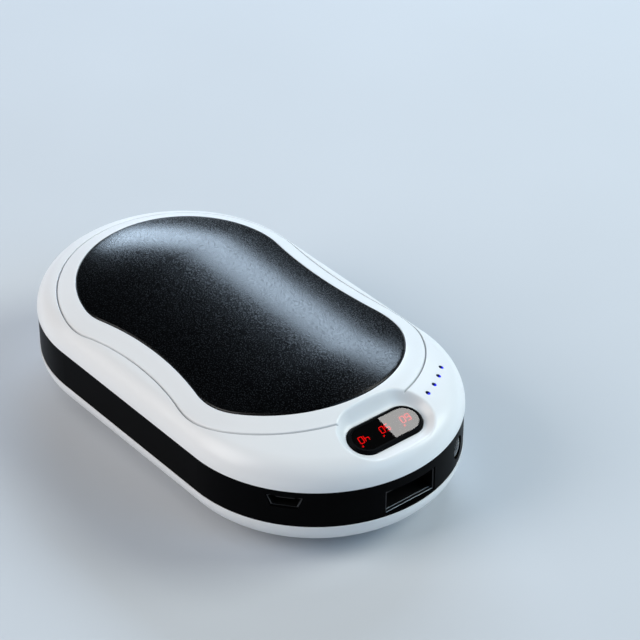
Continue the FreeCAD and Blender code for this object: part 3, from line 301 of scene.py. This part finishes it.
black = start.add("ShaderNodeBsdfPrincipled", None, {
    "Base Color": tone(windowSet["border"]), "Roughness": windowSet["borderRough"],
    "Specular IOR Level": windowSet["borderGloss"]})
both = start.add("ShaderNodeMixShader", None, {0: border, 1: clear, 2: black})
start.add("ShaderNodeOutputMaterial", None, {"Surface": both})

slotFinishes = {
    "shell_white": shellFinish,
    "band_black": bandFinish,
    "plate_black": plateFinish,
    "plate_glue": plasticFinish("adhesive", (0.55, 0.5, 0.38), (0.62, 0.57, 0.45), 0.4),
    "heater_film": plasticFinish("heaterFilm", (0.32, 0.13, 0.03), (0.4, 0.18, 0.05), 0.3),
    "sensor_bead": plasticFinish("sensorBead", (0.02, 0.02, 0.02), (0.04, 0.04, 0.04), 0.35),
    "insulation": plasticFinish("insulationFelt", (0.42, 0.42, 0.4), (0.55, 0.55, 0.52), 0.9, 0.5, 0.5),
    "lead_red": plasticFinish("redLead", (0.38, 0.02, 0.015), (0.45, 0.03, 0.02), 0.4),
    "cell_wrap": plasticFinish("cellWrap", (0.03, 0.12, 0.3), (0.04, 0.15, 0.36), 0.3),
    "cradle_grey": plasticFinish("greyCradle", (0.2, 0.2, 0.21), (0.25, 0.25, 0.26), 0.5),
    "nickel": metalFinish("nickelStrip", (0.6, 0.58, 0.54), (0.7, 0.68, 0.64), 0.25, (1, 8, 1)),
    "board_green": boardFinish,
    "chip_black": plasticFinish("chipBlack", (0.012, 0.012, 0.013), (0.02, 0.02, 0.022), 0.5, 0.15, 0.2),
    "ferrite": plasticFinish("ferrite", (0.03, 0.03, 0.032), (0.06, 0.06, 0.062), 0.6, 0.2, 0.3),
    "capacitor_can": metalFinish("capacitorCan", (0.6, 0.61, 0.62), (0.72, 0.73, 0.74), 0.28),
    "screw_steel": metalFinish("screwSteel", (0.45, 0.45, 0.45), (0.6, 0.6, 0.6), 0.3),
    "socket_metal": metalFinish("socketSteel", (0.06, 0.06, 0.063), (0.11, 0.11, 0.115), 0.3, (1, 1, 6)),
    "socket_black": plasticFinish("socketBlack", (0.008, 0.008, 0.009), (0.016, 0.016, 0.017), 0.4),
    "contact_gold": metalFinish("contactGold", (0.75, 0.5, 0.2), (0.85, 0.6, 0.28), 0.2),
    "torch_lens": lensFinish,
    "torch_led": glowFinish("torchLed", (0.9, 0.85, 0.5), (0.8, 0.72, 0.3), 0.25),
    "light_guide": tipFinish,
    "indicator_blue": glowFinish("blueLed", (0.0, 0.03, 0.8), (0.02, 0.08, 1.0), 1.0),
    "button_black": plasticFinish("buttonBlack", (0.001, 0.001, 0.0013), (0.002, 0.002, 0.0025), 0.36,
                                  0.2, 0.05, gloss=0.04),
    "window_smoke": windowFinish,
    "light_box_black": plasticFinish("lightBoxBlack", (0.0006, 0.0006, 0.0006), (0.001, 0.001, 0.001), 0.6,
                                     gloss=0.05),
    "digit_red": glowFinish("digitRed", (1.0, 0.003, 0.002), (0.9, 0.002, 0.002), 18.0, 0.2, 0.05),
    "plunger_cream": plasticFinish("creamPlunger", (0.6, 0.54, 0.4), (0.66, 0.6, 0.46), 0.45),
}
for row in frame["record"]["subparts"]:
    nodes[row["node"]].data.materials.clear()
    nodes[row["node"]].data.materials.append(slotFinishes[row["material_slot"]])
print("stage 3: finishes,", len(slotFinishes))

# shells and plates, in millimetres: d is the distance from the spine, heights run away from the band
topBox = [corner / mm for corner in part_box("top_shell")]
bodySet = {"nose": topBox[1].x, "halfWidth": topBox[1].y, "bandLow": 9.5, "bandTop": 18.4, "wall": 1.8}
bodySet["straight"] = bodySet["nose"] - bodySet["halfWidth"]
topSet = {"base": bodySet["bandTop"], "up": 1, "rise": 11.3, "shoulder": 6.5, "scooped": True,
          "steps": (0.5, 1.5, 1.0), "ringRows": 14, "outerRows": 60, "plateRows": 36}
lowSet = {"base": bodySet["bandLow"], "up": -1, "rise": 10.3, "shoulder": 5.8, "scooped": False,
          "steps": (1.5, 1.5, 1.0), "ringRows": 7, "outerRows": 30, "plateRows": 60}
plateBox = [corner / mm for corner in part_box("top_heat_plate")]
plateSize = {"frontTip": plateBox[1].x, "rearTip": plateBox[0].x, "half": plateBox[1].y,
             "frontCorner": 0.65, "frontSet": 0.858, "rearCorner": 0.562, "rearSet": 0.916, "waist": 83.75,
             "rise": 0.42, "thick": 2.15, "gap": 0.1, "round": 0.3, "roundTurns": (18, 36, 54, 72, 90),
             "steps": (2.0, 2.0, 1.0), "backParts": (0.8, 0.5, 0.2, 0.0)}
grooveSet = {"offset": 4.35, "half": 0.27, "depth": 0.5, "lift": 0.32, "margin": 0.12, "rows": 13}
edgeSet = {"seatDrop": 0.5, "plateRound": 0.2, "plateTurns": (0, 22, 45, 67, 90), "ringFrom": 0.5,
           "rimRound": 0.12, "rimTurns": (30, 60, 90), "insideRows": 9}
scoopSet = {"floor": -0.7, "floorRadius": 4.7, "innerSlope": 1.25, "endSlope": 1.45, "outerSlope": 0.66,
            "soft": 0.4, "rimSoft": 0.5, "pan": 1.5, "hole": 4.05, "cutHalf": 6.0, "slotTurns": 32,
            "beyond": 30, "grooveShadeFade": 0.4, "rounds": 14}
sliver = 1e-6                                     # keeps roots and outline ends off their limits


def domeShape(dome):                              # crown radius, shoulder's middle, turn where they meet
    side = bodySet["halfWidth"] - dome["shoulder"]
    rise, shoulder = dome["rise"], dome["shoulder"]
    crown = (side ** 2 + rise ** 2 - shoulder ** 2) / (2 * (rise - shoulder))
    return crown, side, math.asin(side / (crown - shoulder))


def domeHeight(dome, d, inset=0.0):               # height over the band's edge
    crown, side, _ = domeShape(dome)
    meet = side * (crown - inset) / (crown - dome["shoulder"])
    cap = dome["rise"] - crown + np.sqrt(np.maximum((crown - inset) ** 2 - d ** 2, 0))
    edge = np.sqrt(np.maximum((dome["shoulder"] - inset) ** 2 - (d - side) ** 2, 0))
    return np.where(d <= meet, cap, edge)


def domeArc(dome, d):                             # length along the profile, from the crown
    crown, side, meetTurn = domeShape(dome)
    cap = crown * np.arcsin(np.minimum(d / crown, 1))
    edgeTurn = np.arcsin(np.clip((d - side) / dome["shoulder"], -1, 1))
    edge = crown * meetTurn + dome["shoulder"] * (edgeTurn - meetTurn)
    return np.where(d <= crown * math.sin(meetTurn), cap, edge)


def domeReach(dome, arc):                         # the way back: distance from the spine
    crown, side, meetTurn = domeShape(dome)
    cap = crown * np.sin(np.minimum(arc / crown, meetTurn))
    edgeTurn = meetTurn + np.maximum(arc - crown * meetTurn, 0) / dome["shoulder"]
    edge = side + dome["shoulder"] * np.sin(edgeTurn)
    return np.where(arc <= crown * meetTurn, cap, edge)


def spineColumns(noseStep, tailStep, sideStep):   # start points and directions, once round the body
    starts, ways = [], []
    far = bodySet["straight"]
    for turn in np.radians(np.arange(-90, 90, noseStep)):
        starts.append((far, 0))
        ways.append((math.cos(turn), math.sin(turn)))
    for x in np.arange(far, -far, -sideStep):
        starts.append((x, 0))
        ways.append((0, 1))
    for turn in np.radians(np.arange(90, 270, tailStep)):
        starts.append((-far, 0))
        ways.append((math.cos(turn), math.sin(turn)))
    for x in np.arange(-far, far, sideStep):
        starts.append((x, 0))
        ways.append((0, -1))
    return np.array(starts), np.array(ways)


def plateArcs():                                  # the outline's arcs on the +Y side, front to rear
    p = plateSize
    front, rear = p["frontCorner"] * p["half"], p["rearCorner"] * p["half"]
    frontAt = Vector((p["frontTip"] - p["frontSet"] * p["half"], p["half"] - front))
    rearAt = Vector((p["rearTip"] + p["rearSet"] * p["half"], p["half"] - rear))
    frontIn, rearIn = p["frontTip"] - front, p["rearTip"] + rear
    frontMid = (frontIn ** 2 - frontAt.length_squared) / (2 * (frontIn - frontAt.x))
    rearMid = (rearIn ** 2 - rearAt.length_squared) / (2 * (rearIn - rearAt.x))
    way = rearAt - frontAt
    frontFar, rearFar = front + p["waist"], rear + p["waist"]
    along = (frontFar ** 2 - rearFar ** 2 + way.length_squared) / (2 * way.length)
    off = math.sqrt(frontFar ** 2 - along ** 2)
    way.normalize()
    waistAt = frontAt + way * along + Vector((way.y, -way.x)) * off
    frontTurn = math.atan2(frontAt.y, frontAt.x - frontMid)
    rearTurn = math.atan2(rearAt.y, rearAt.x - rearMid)
    frontMeet = math.atan2(waistAt.y - frontAt.y, waistAt.x - frontAt.x)
    rearMeet = math.atan2(waistAt.y - rearAt.y, waistAt.x - rearAt.x)
    return [(frontMid, 0, p["frontTip"] - frontMid, 0, frontTurn, 1),
            (*frontAt, front, frontTurn, frontMeet, 1),
            (*waistAt, p["waist"], math.pi + rearMeet, math.pi + frontMeet, -1),
            (*rearAt, rear, rearMeet, rearTurn, 1),
            (rearMid, 0, rearMid - p["rearTip"], rearTurn, math.pi, 1)]


outlineArcs = plateArcs()


def rayReach(x, wayX, wayY, grow):                # where a ray from the spine meets the grown outline
    for arcX, arcY, radius, first, last, bulge in outlineArcs:
        offX, offY, size = x - arcX, -arcY, radius + bulge * grow
        toward = offX * wayX + offY * wayY
        room = toward ** 2 - offX ** 2 - offY ** 2 + size ** 2
        if room > 0:
            d = -toward + bulge * math.sqrt(room)
            turn = math.atan2(offY + d * wayY, offX + d * wayX) % (2 * math.pi)
            if first - sliver <= turn <= last + sliver:
                return d
    raise ValueError("no outline at " + str((x, wayX, wayY, grow)))


def plateReach(starts, ways, grow):               # from the spine to the plate's outline, grown by so much
    return np.array([rayReach(x, wayX, abs(wayY), grow) for (x, _), (wayX, wayY) in zip(starts, ways)])


def scoopHeight(x, y):                            # height over the ground of the hollow round the button
    s = scoopSet
    lift = np.full_like(x, s["floor"])
    for _ in range(s["rounds"]):                  # the wall's lift and its place settle together
        along = ((x - midX) - lift * tiltSin) / tiltCos
        rho = np.hypot(along, np.maximum(np.abs(y) - buttonSet["reach"], 0)) + 1e-9      # never zero
        out = along / rho
        slope = s["endSlope"] + (s["innerSlope"] - s["endSlope"]) * np.minimum(out, 0) ** 2
        slope += (s["outerSlope"] - s["endSlope"]) * np.maximum(out, 0) ** 2
        over = (rho - s["floorRadius"]) / s["soft"]
        lift = s["floor"] + slope * s["soft"] * np.logaddexp(0, over)
    return midZ - along * tiltSin + lift * tiltCos


def softLower(a, b, soft):                        # the lower of two heights, with a rounded meeting
    near = np.maximum(soft - np.abs(a - b), 0)
    return np.minimum(a, b) - near ** 2 / (4 * soft)


def meshPiece(name, points, faces, finish, slot):
    mesh = bpy.data.meshes.new(name)
    mesh.from_pydata([tuple(p) for p in points], [], faces)
    mesh.update()
    piece = bpy.data.objects.new(name, mesh)
    bpy.context.scene.collection.objects.link(piece)
    mesh.materials.append(finish)
    return piece


def smoothen(piece, angle=38, weld=1e-7):
    work = bmesh.new()
    work.from_mesh(piece.data)
    bmesh.ops.remove_doubles(work, verts=work.verts, dist=weld)
    bmesh.ops.recalc_face_normals(work, faces=work.faces)
    work.to_mesh(piece.data)
    work.free()
    piece.data.polygons.foreach_set("use_smooth", [True] * len(piece.data.polygons))
    piece.data.set_sharp_from_angle(angle=math.radians(angle))


def ringFaces(rows, columns, closed=True):
    faces = []
    for r in range(rows if closed else rows - 1):
        here, below = r * columns, (r + 1) % rows * columns
        for c in range(columns):
            beside = (c + 1) % columns
            faces.append((here + c, here + beside, below + beside, below + c))
    return faces


def prismFaces(base, count):                      # two outlines, one after the other, as ends and sides
    faces = [tuple(range(base, base + count))[::-1], tuple(range(base + count, base + 2 * count))]
    for i in range(count):
        beside = (i + 1) % count
        faces.append((base + i, base + beside, base + beside + count, base + i + count))
    return faces


def circleTurns(count):
    return np.linspace(0, 2 * math.pi, count, endpoint=False)


def buildShell(name, dome):
    starts, ways = spineColumns(*dome["steps"])
    count = len(starts)
    rim = bodySet["halfWidth"]
    g, e = grooveSet, edgeSet
    rings = []                                    # each: distance from the spine, height from the band
    shares = {}                                   # how deep in the groove a ring is, which sets its painted shade and roughness

    def outer(d, drop=0.0):
        return domeHeight(dome, d) - drop

    def lift(offset):                             # the ring inside the groove climbs towards the plate
        part = min(max(1 - offset / (g["offset"] - g["half"]), 0), 1)
        return g["lift"] * part * part * (3 - 2 * part)

    seat = plateReach(starts, ways, plateSize["gap"])
    rings.append((seat, outer(seat, bodySet["wall"])))
    rings.append((seat, outer(seat, e["seatDrop"])))
    for turn in np.radians(e["plateTurns"]):      # the rounded edge round the plate
        offset = plateSize["gap"] + e["plateRound"] * (1 - math.cos(turn))
        d = plateReach(starts, ways, offset)
        rings.append((d, outer(d, e["plateRound"] * (1 - math.sin(turn)) - lift(offset))))
    offsets = list(np.linspace(e["ringFrom"], g["offset"] - g["half"] - g["margin"], dome["ringRows"]))
    offsets += list(g["offset"] + g["half"] * np.linspace(-1, 1, g["rows"]))
    offsets.append(g["offset"] + g["half"] + g["margin"])
    for offset in offsets:
        d = plateReach(starts, ways, offset)
        part = min(abs(offset - g["offset"]) / g["half"], 1)
        share = 0.5 * (1 + math.cos(math.pi * part))
        shares[len(rings)] = share
        rings.append((d, outer(d, g["depth"] * share - lift(offset))))
    first = domeArc(dome, plateReach(starts, ways, offsets[-1]))
    last = domeArc(dome, np.full(count, rim - sliver))
    for part in np.linspace(0, 1, dome["outerRows"] + 1)[1:]:
        d = domeReach(dome, first + (last - first) * part)
        rings.append((d, outer(d)))
    for turn in np.radians(e["rimTurns"]):        # small round under the rim
        rings.append((np.full(count, rim - e["rimRound"] * (1 - math.cos(turn))),
                      np.full(count, e["rimRound"] * (1 - math.sin(turn)))))
    inside = np.full(count, rim - bodySet["wall"])
    rings.append((inside, np.zeros(count)))
    outerCount = len(rings)
    for part in np.linspace(0, 1, e["insideRows"])[1:-1]:
        d = inside + (seat - inside) * part
        rings.append((d, domeHeight(dome, d, bodySet["wall"])))

    points, shades = [], []
    for i, (d, high) in enumerate(rings):
        x = starts[:, 0] + d * ways[:, 0]
        y = starts[:, 1] + d * ways[:, 1]
        z = dome["base"] + dome["up"] * high
        shade = np.full(count, shares.get(i, 0.0))
        if dome["scooped"]:
            limit = scoopHeight(x, y) - (scoopSet["pan"] if i >= outerCount else 0)
            reached = x > scoopSet["beyond"]
            # the groove's painted shade fades out where the hollow round the button cuts the shell
            shade = np.where(reached, shade * np.clip((limit - z) / scoopSet["grooveShadeFade"], 0, 1), shade)
            z = np.where(reached, softLower(z, limit, scoopSet["rimSoft"]), z)
            z = np.maximum(z, dome["base"])
        points.append(np.stack([x, y, z], axis=1) * mm)
        shades.append(shade)
    faces = ringFaces(len(rings), count)
    piece = meshPiece(name, np.concatenate(points), faces, shellFinish, "shell_white")
    # the groove attribute carries the groove's painted shade and its roughness
    piece.data.attributes.new("groove", "FLOAT", "POINT").data.foreach_set("value", np.concatenate(shades))
    smoothen(piece)
    return piece


def buildPlate(name, dome):
    p = plateSize
    starts, ways = spineColumns(*p["steps"])
    rings = []

    def face(d):                                  # the lower plate is flat where it rests
        high = domeHeight(dome, d, -p["rise"])
        return np.minimum(high, dome["base"]) if dome["up"] < 0 else high

    inner = plateReach(starts, ways, -p["round"])
    for part in np.linspace(0, 1, dome["plateRows"]):
        d = inner * part
        rings.append((d, face(d)))
    for turn in np.radians(p["roundTurns"]):
        d = plateReach(starts, ways, -p["round"] + p["round"] * math.sin(turn))
        rings.append((d, face(d) - p["round"] * (1 - math.cos(turn))))
    edge = plateReach(starts, ways, 0.0)
    for part in (1.0, *p["backParts"]):
        d = edge * part
        rings.append((d, face(d) - p["thick"]))
    points = []
    for d, high in rings:
        x = starts[:, 0] + d * ways[:, 0]
        y = starts[:, 1] + d * ways[:, 1]
        points.append(np.stack([x, y, dome["base"] + dome["up"] * high], axis=1) * mm)
    faces = ringFaces(len(rings), len(starts), False)
    piece = meshPiece(name, np.concatenate(points), faces, plateFinish, "plate_black")
    smoothen(piece)
    return piece


def shellHoles():                                 # cutters: the button's tilted slot, the tips' round holes
    radius, reach = scoopSet["hole"], buttonSet["reach"]
    outline = [(radius * math.cos(a), reach + radius * math.sin(a))
               for a in np.linspace(0, math.pi, scoopSet["slotTurns"])]
    outline += [(-x, -y) for x, y in outline]
    levels = (-scoopSet["cutHalf"], scoopSet["cutHalf"])
    points = [buttonPoint(x, y, level) for level in levels for x, y in outline]
    faces = prismFaces(0, len(outline))
    t = tipSet
    for index in range(t["count"]):
        turn = math.radians(t["start"] + index * t["pitch"])
        x = t["mid"] + t["reach"] * math.cos(turn)
        y = t["reach"] * math.sin(turn)
        faces += prismFaces(len(points), t["turns"])
        points += [((x + t["radius"] * math.cos(a)) * mm, (y + t["radius"] * math.sin(a)) * mm, z * mm)
                   for z in t["hole"] for a in circleTurns(t["turns"])]
    return points, faces


topShell = buildShell("topShell", topSet)
cutter = meshPiece("shellCutter", *shellHoles(), shellFinish, "shell_white")
cut = topShell.modifiers.new("holes", "BOOLEAN")
cut.operation = "DIFFERENCE"
cut.solver = "EXACT"
cut.object = cutter
bpy.context.view_layer.update()
holed = bpy.data.meshes.new_from_object(topShell.evaluated_get(bpy.context.evaluated_depsgraph_get()))
topShell.modifiers.clear()
topShell.data = holed
bpy.data.objects.remove(cutter)
smoothen(topShell)
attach(topShell, "case")
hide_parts("top_shell")
lowShell = buildShell("lowShell", lowSet)
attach(lowShell, "case")
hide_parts("bottom_shell")
topPlate = buildPlate("topPlate", topSet)
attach(topPlate, "case")
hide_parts("top_heat_plate")
lowPlate = buildPlate("lowPlate", lowSet)
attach(lowPlate, "case")
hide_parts("bottom_heat_plate")
print("stage 4: shells and plates,", len(topShell.data.polygons), "faces in the upper shell")

# the outlet's lower lip: two rolled edges of sheet metal, each by x, z and radius
lipSet = {"half": 6.2, "turns": 16, "dark": (0.2, 0.22, 0.24), "pale": (0.28, 0.3, 0.32), "rough": 0.25,
          "brushed": (1, 6, 1), "rolls": ((54.28, 10.2, 0.09), (53.6, 10.35, 0.06))}
points, faces = [], []
for x, z, radius in lipSet["rolls"]:
    faces += prismFaces(len(points), lipSet["turns"])
    points += [((x + radius * math.cos(a)) * mm, y * mm, (z + radius * math.sin(a)) * mm)
               for y in (-lipSet["half"], lipSet["half"]) for a in circleTurns(lipSet["turns"])]
lipFinish = metalFinish("lipSteel", lipSet["dark"], lipSet["pale"], lipSet["rough"], lipSet["brushed"])
outletLip = meshPiece("outletLip", points, faces, lipFinish, "socket_metal")
smoothen(outletLip)
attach(outletLip, "case")

# the lit figures: thin slanted bars on the light box, upright towards +X and read towards -Y
figureSet = {"readings": ("40", "50", "60"), "pitch": 5.55, "aside": 0.45, "setback": 0.6, "high": 1.6,
             "wide": 0.95, "gap": 0.42, "stroke": 0.13, "lean": 0.14, "level": (-1.2, -1.1),
             "cornerCut": 0.06, "joint": 0.01, "ring": (0.14, 0.21), "ringUp": 0.68, "ringTurns": 20,
             "bars": {"0": "abcdef", "4": "bcfg", "5": "acdfg", "6": "acdefg"}}
barEnds = {"a": (-1, 1, 1, 1), "b": (1, 0, 1, 1), "c": (1, -1, 1, 0), "d": (-1, -1, 1, -1),
           "e": (-1, -1, -1, 0), "f": (-1, 0, -1, 1), "g": (-1, 0, 1, 0)}


def figurePoints(outline):                        # u the way of reading, v upwards, both in millimetres
    return [buttonPoint(v - figureSet["setback"], -u - figureSet["lean"] * v, level)
            for level in figureSet["level"] for u, v in outline]


def figureBar(points, faces, middle, bar):
    f = figureSet
    halfWide, halfHigh, line = f["wide"] / 2, f["high"] / 2, f["stroke"] / 2
    u0, v0, u1, v1 = barEnds[bar]
    if v0 == v1:                                  # a level bar, short of the upright ones
        short = line + f["joint"] if bar == "g" else f["cornerCut"]
        left, right = u0 * halfWide + short, u1 * halfWide - short
        low, high = v0 * halfHigh - line, v1 * halfHigh + line
    else:
        left, right = u0 * halfWide - line, u1 * halfWide + line
        low = v0 * halfHigh + (f["joint"] if v0 == 0 else f["cornerCut"])
        high = v1 * halfHigh - (f["joint"] if v1 == 0 else f["cornerCut"])
    outline = [(left, low), (right, low), (right, high), (left, high)]
    faces += prismFaces(len(points), len(outline))
    points += figurePoints([(middle + u, v) for u, v in outline])


def figureRing(points, faces, u, v):
    base, half = len(points), figureSet["ringTurns"]
    points += figurePoints([(u + size * math.cos(a), v + size * math.sin(a))
                            for size in figureSet["ring"] for a in circleTurns(half)])
    circles = [base, base + half, base + 3 * half, base + 2 * half]      # inner and outer, low then high
    for one, two in zip(circles, circles[1:] + circles[:1]):
        for i in range(half):
            beside = (i + 1) % half
            faces.append((one + i, one + beside, two + beside, two + i))


points, faces = [], []
step = (figureSet["wide"] + figureSet["gap"]) / 2
for index, reading in enumerate(figureSet["readings"]):
    middle = (1 - index) * figureSet["pitch"] - figureSet["aside"]
    for sign, figure in zip((-1, 1), reading):
        for bar in figureSet["bars"][figure]:
            figureBar(points, faces, middle + sign * step, bar)
    ringU = middle + step + figureSet["wide"] / 2
    figureRing(points, faces, ringU, figureSet["high"] / 2 + figureSet["ringUp"])
litFigures = meshPiece("litFigures", points, faces, slotFinishes["digit_red"], "digit_red")
smoothen(litFigures)
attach(litFigures, "case")
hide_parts("digit_segments")
print("stage 5: outlet lip and lit figures")

# floor
floorSet = {"colour": (0.55, 0.575, 0.61), "shade": (0.53, 0.555, 0.59), "half": 3.0, "cloud": 60.0,
            "rough": 0.7, "cloudRough": 0.1}
half = floorSet["half"]
floorMesh = bpy.data.meshes.new("floor")
corners = [(-half, -half, 0), (half, -half, 0), (half, half, 0), (-half, half, 0)]
floorMesh.from_pydata(corners, [], [(0, 1, 2, 3)])
floor = bpy.data.objects.new("floor", floorMesh)
bpy.context.scene.collection.objects.link(floor)
floorFinish, start = newFinish("paleFloor")
cloud = grainOf(start, floorSet["cloud"])
closeFinish(start, {
    "Base Color": mixTone(start, cloud, floorSet["colour"], floorSet["shade"]),
    "Roughness": floorSet["rough"] + floorSet["cloudRough"] * cloud})
floorMesh.materials.append(floorFinish)

# light: each lamp by its place, what it aims at, the way its first side runs, its two sides and its watts
lampSets = {
    "windowCard": {"place": (-0.0912, 0.3438, 0.4949), "aim": (-0.2132, -0.0042, 0.0221),
                   "edge": (0.968, 0, -0.25), "size": (0.07, 0.07), "power": 0.109,
                   "colour": (1.0, 0.99, 0.98)},
    "ridgeStrip": {"place": (-0.534, 0.491, 0.362), "aim": (0, 0, 0.025), "edge": (0.739, 0.474, 0.479),
                   "size": (0.66, 0.17), "power": 4.25, "colour": (0.64, 0.81, 1.0)},
    "frontFill": {"place": (-0.35, -0.85, 0.55), "aim": (0, 0, 0.01), "edge": (1, -0.4, 0),
                  "size": (0.7, 0.7), "power": 8.2, "colour": (1.0, 0.97, 0.945)},
    "topFill": {"place": (-0.15, -0.35, 0.75), "aim": (0, 0, 0.02), "edge": (1, 0, 0),
                "size": (0.5, 0.5), "power": 0.9, "colour": (1.0, 0.98, 0.96)},
    "farFill": {"place": (0.40, 0.70, 0.55), "aim": (0.02, 0, 0.02), "edge": (1, -0.5, 0),
                "size": (0.5, 0.5), "power": 6.4, "colour": (0.94, 1.0, 0.95)},
    "noseFill": {"place": (0.80, 0.28, 0.50), "aim": (0.04, 0, 0.02), "edge": (0, 1, 0),
                 "size": (0.5, 0.5), "power": 2.7, "colour": (0.46, 0.73, 1.0)},
}
for name, lampSet in lampSets.items():
    lamp = bpy.data.lights.new(name, "AREA")
    lamp.shape = "RECTANGLE"
    lamp.size, lamp.size_y = lampSet["size"]
    lamp.energy = lampSet["power"]
    lamp.color = lampSet["colour"]
    holder = bpy.data.objects.new(name, lamp)
    bpy.context.scene.collection.objects.link(holder)
    away = (Vector(lampSet["place"]) - Vector(lampSet["aim"])).normalized()
    edge = Vector(lampSet["edge"])
    edge = (edge - away * edge.dot(away)).normalized()
    turn = Matrix((edge, away.cross(edge), away)).transposed()
    holder.matrix_world = Matrix.Translation(lampSet["place"]) @ turn.to_4x4()
worldSet = {"colour": (0.86, 0.92, 1.0), "strength": 0.05}
world = bpy.data.worlds.new("studio")
bpy.context.scene.world = world
world.use_nodes = True
world.node_tree.nodes["Background"].inputs["Color"].default_value = tone(worldSet["colour"])
world.node_tree.nodes["Background"].inputs["Strength"].default_value = worldSet["strength"]
print("stage 6: floor and light")

print("stage 7: done")
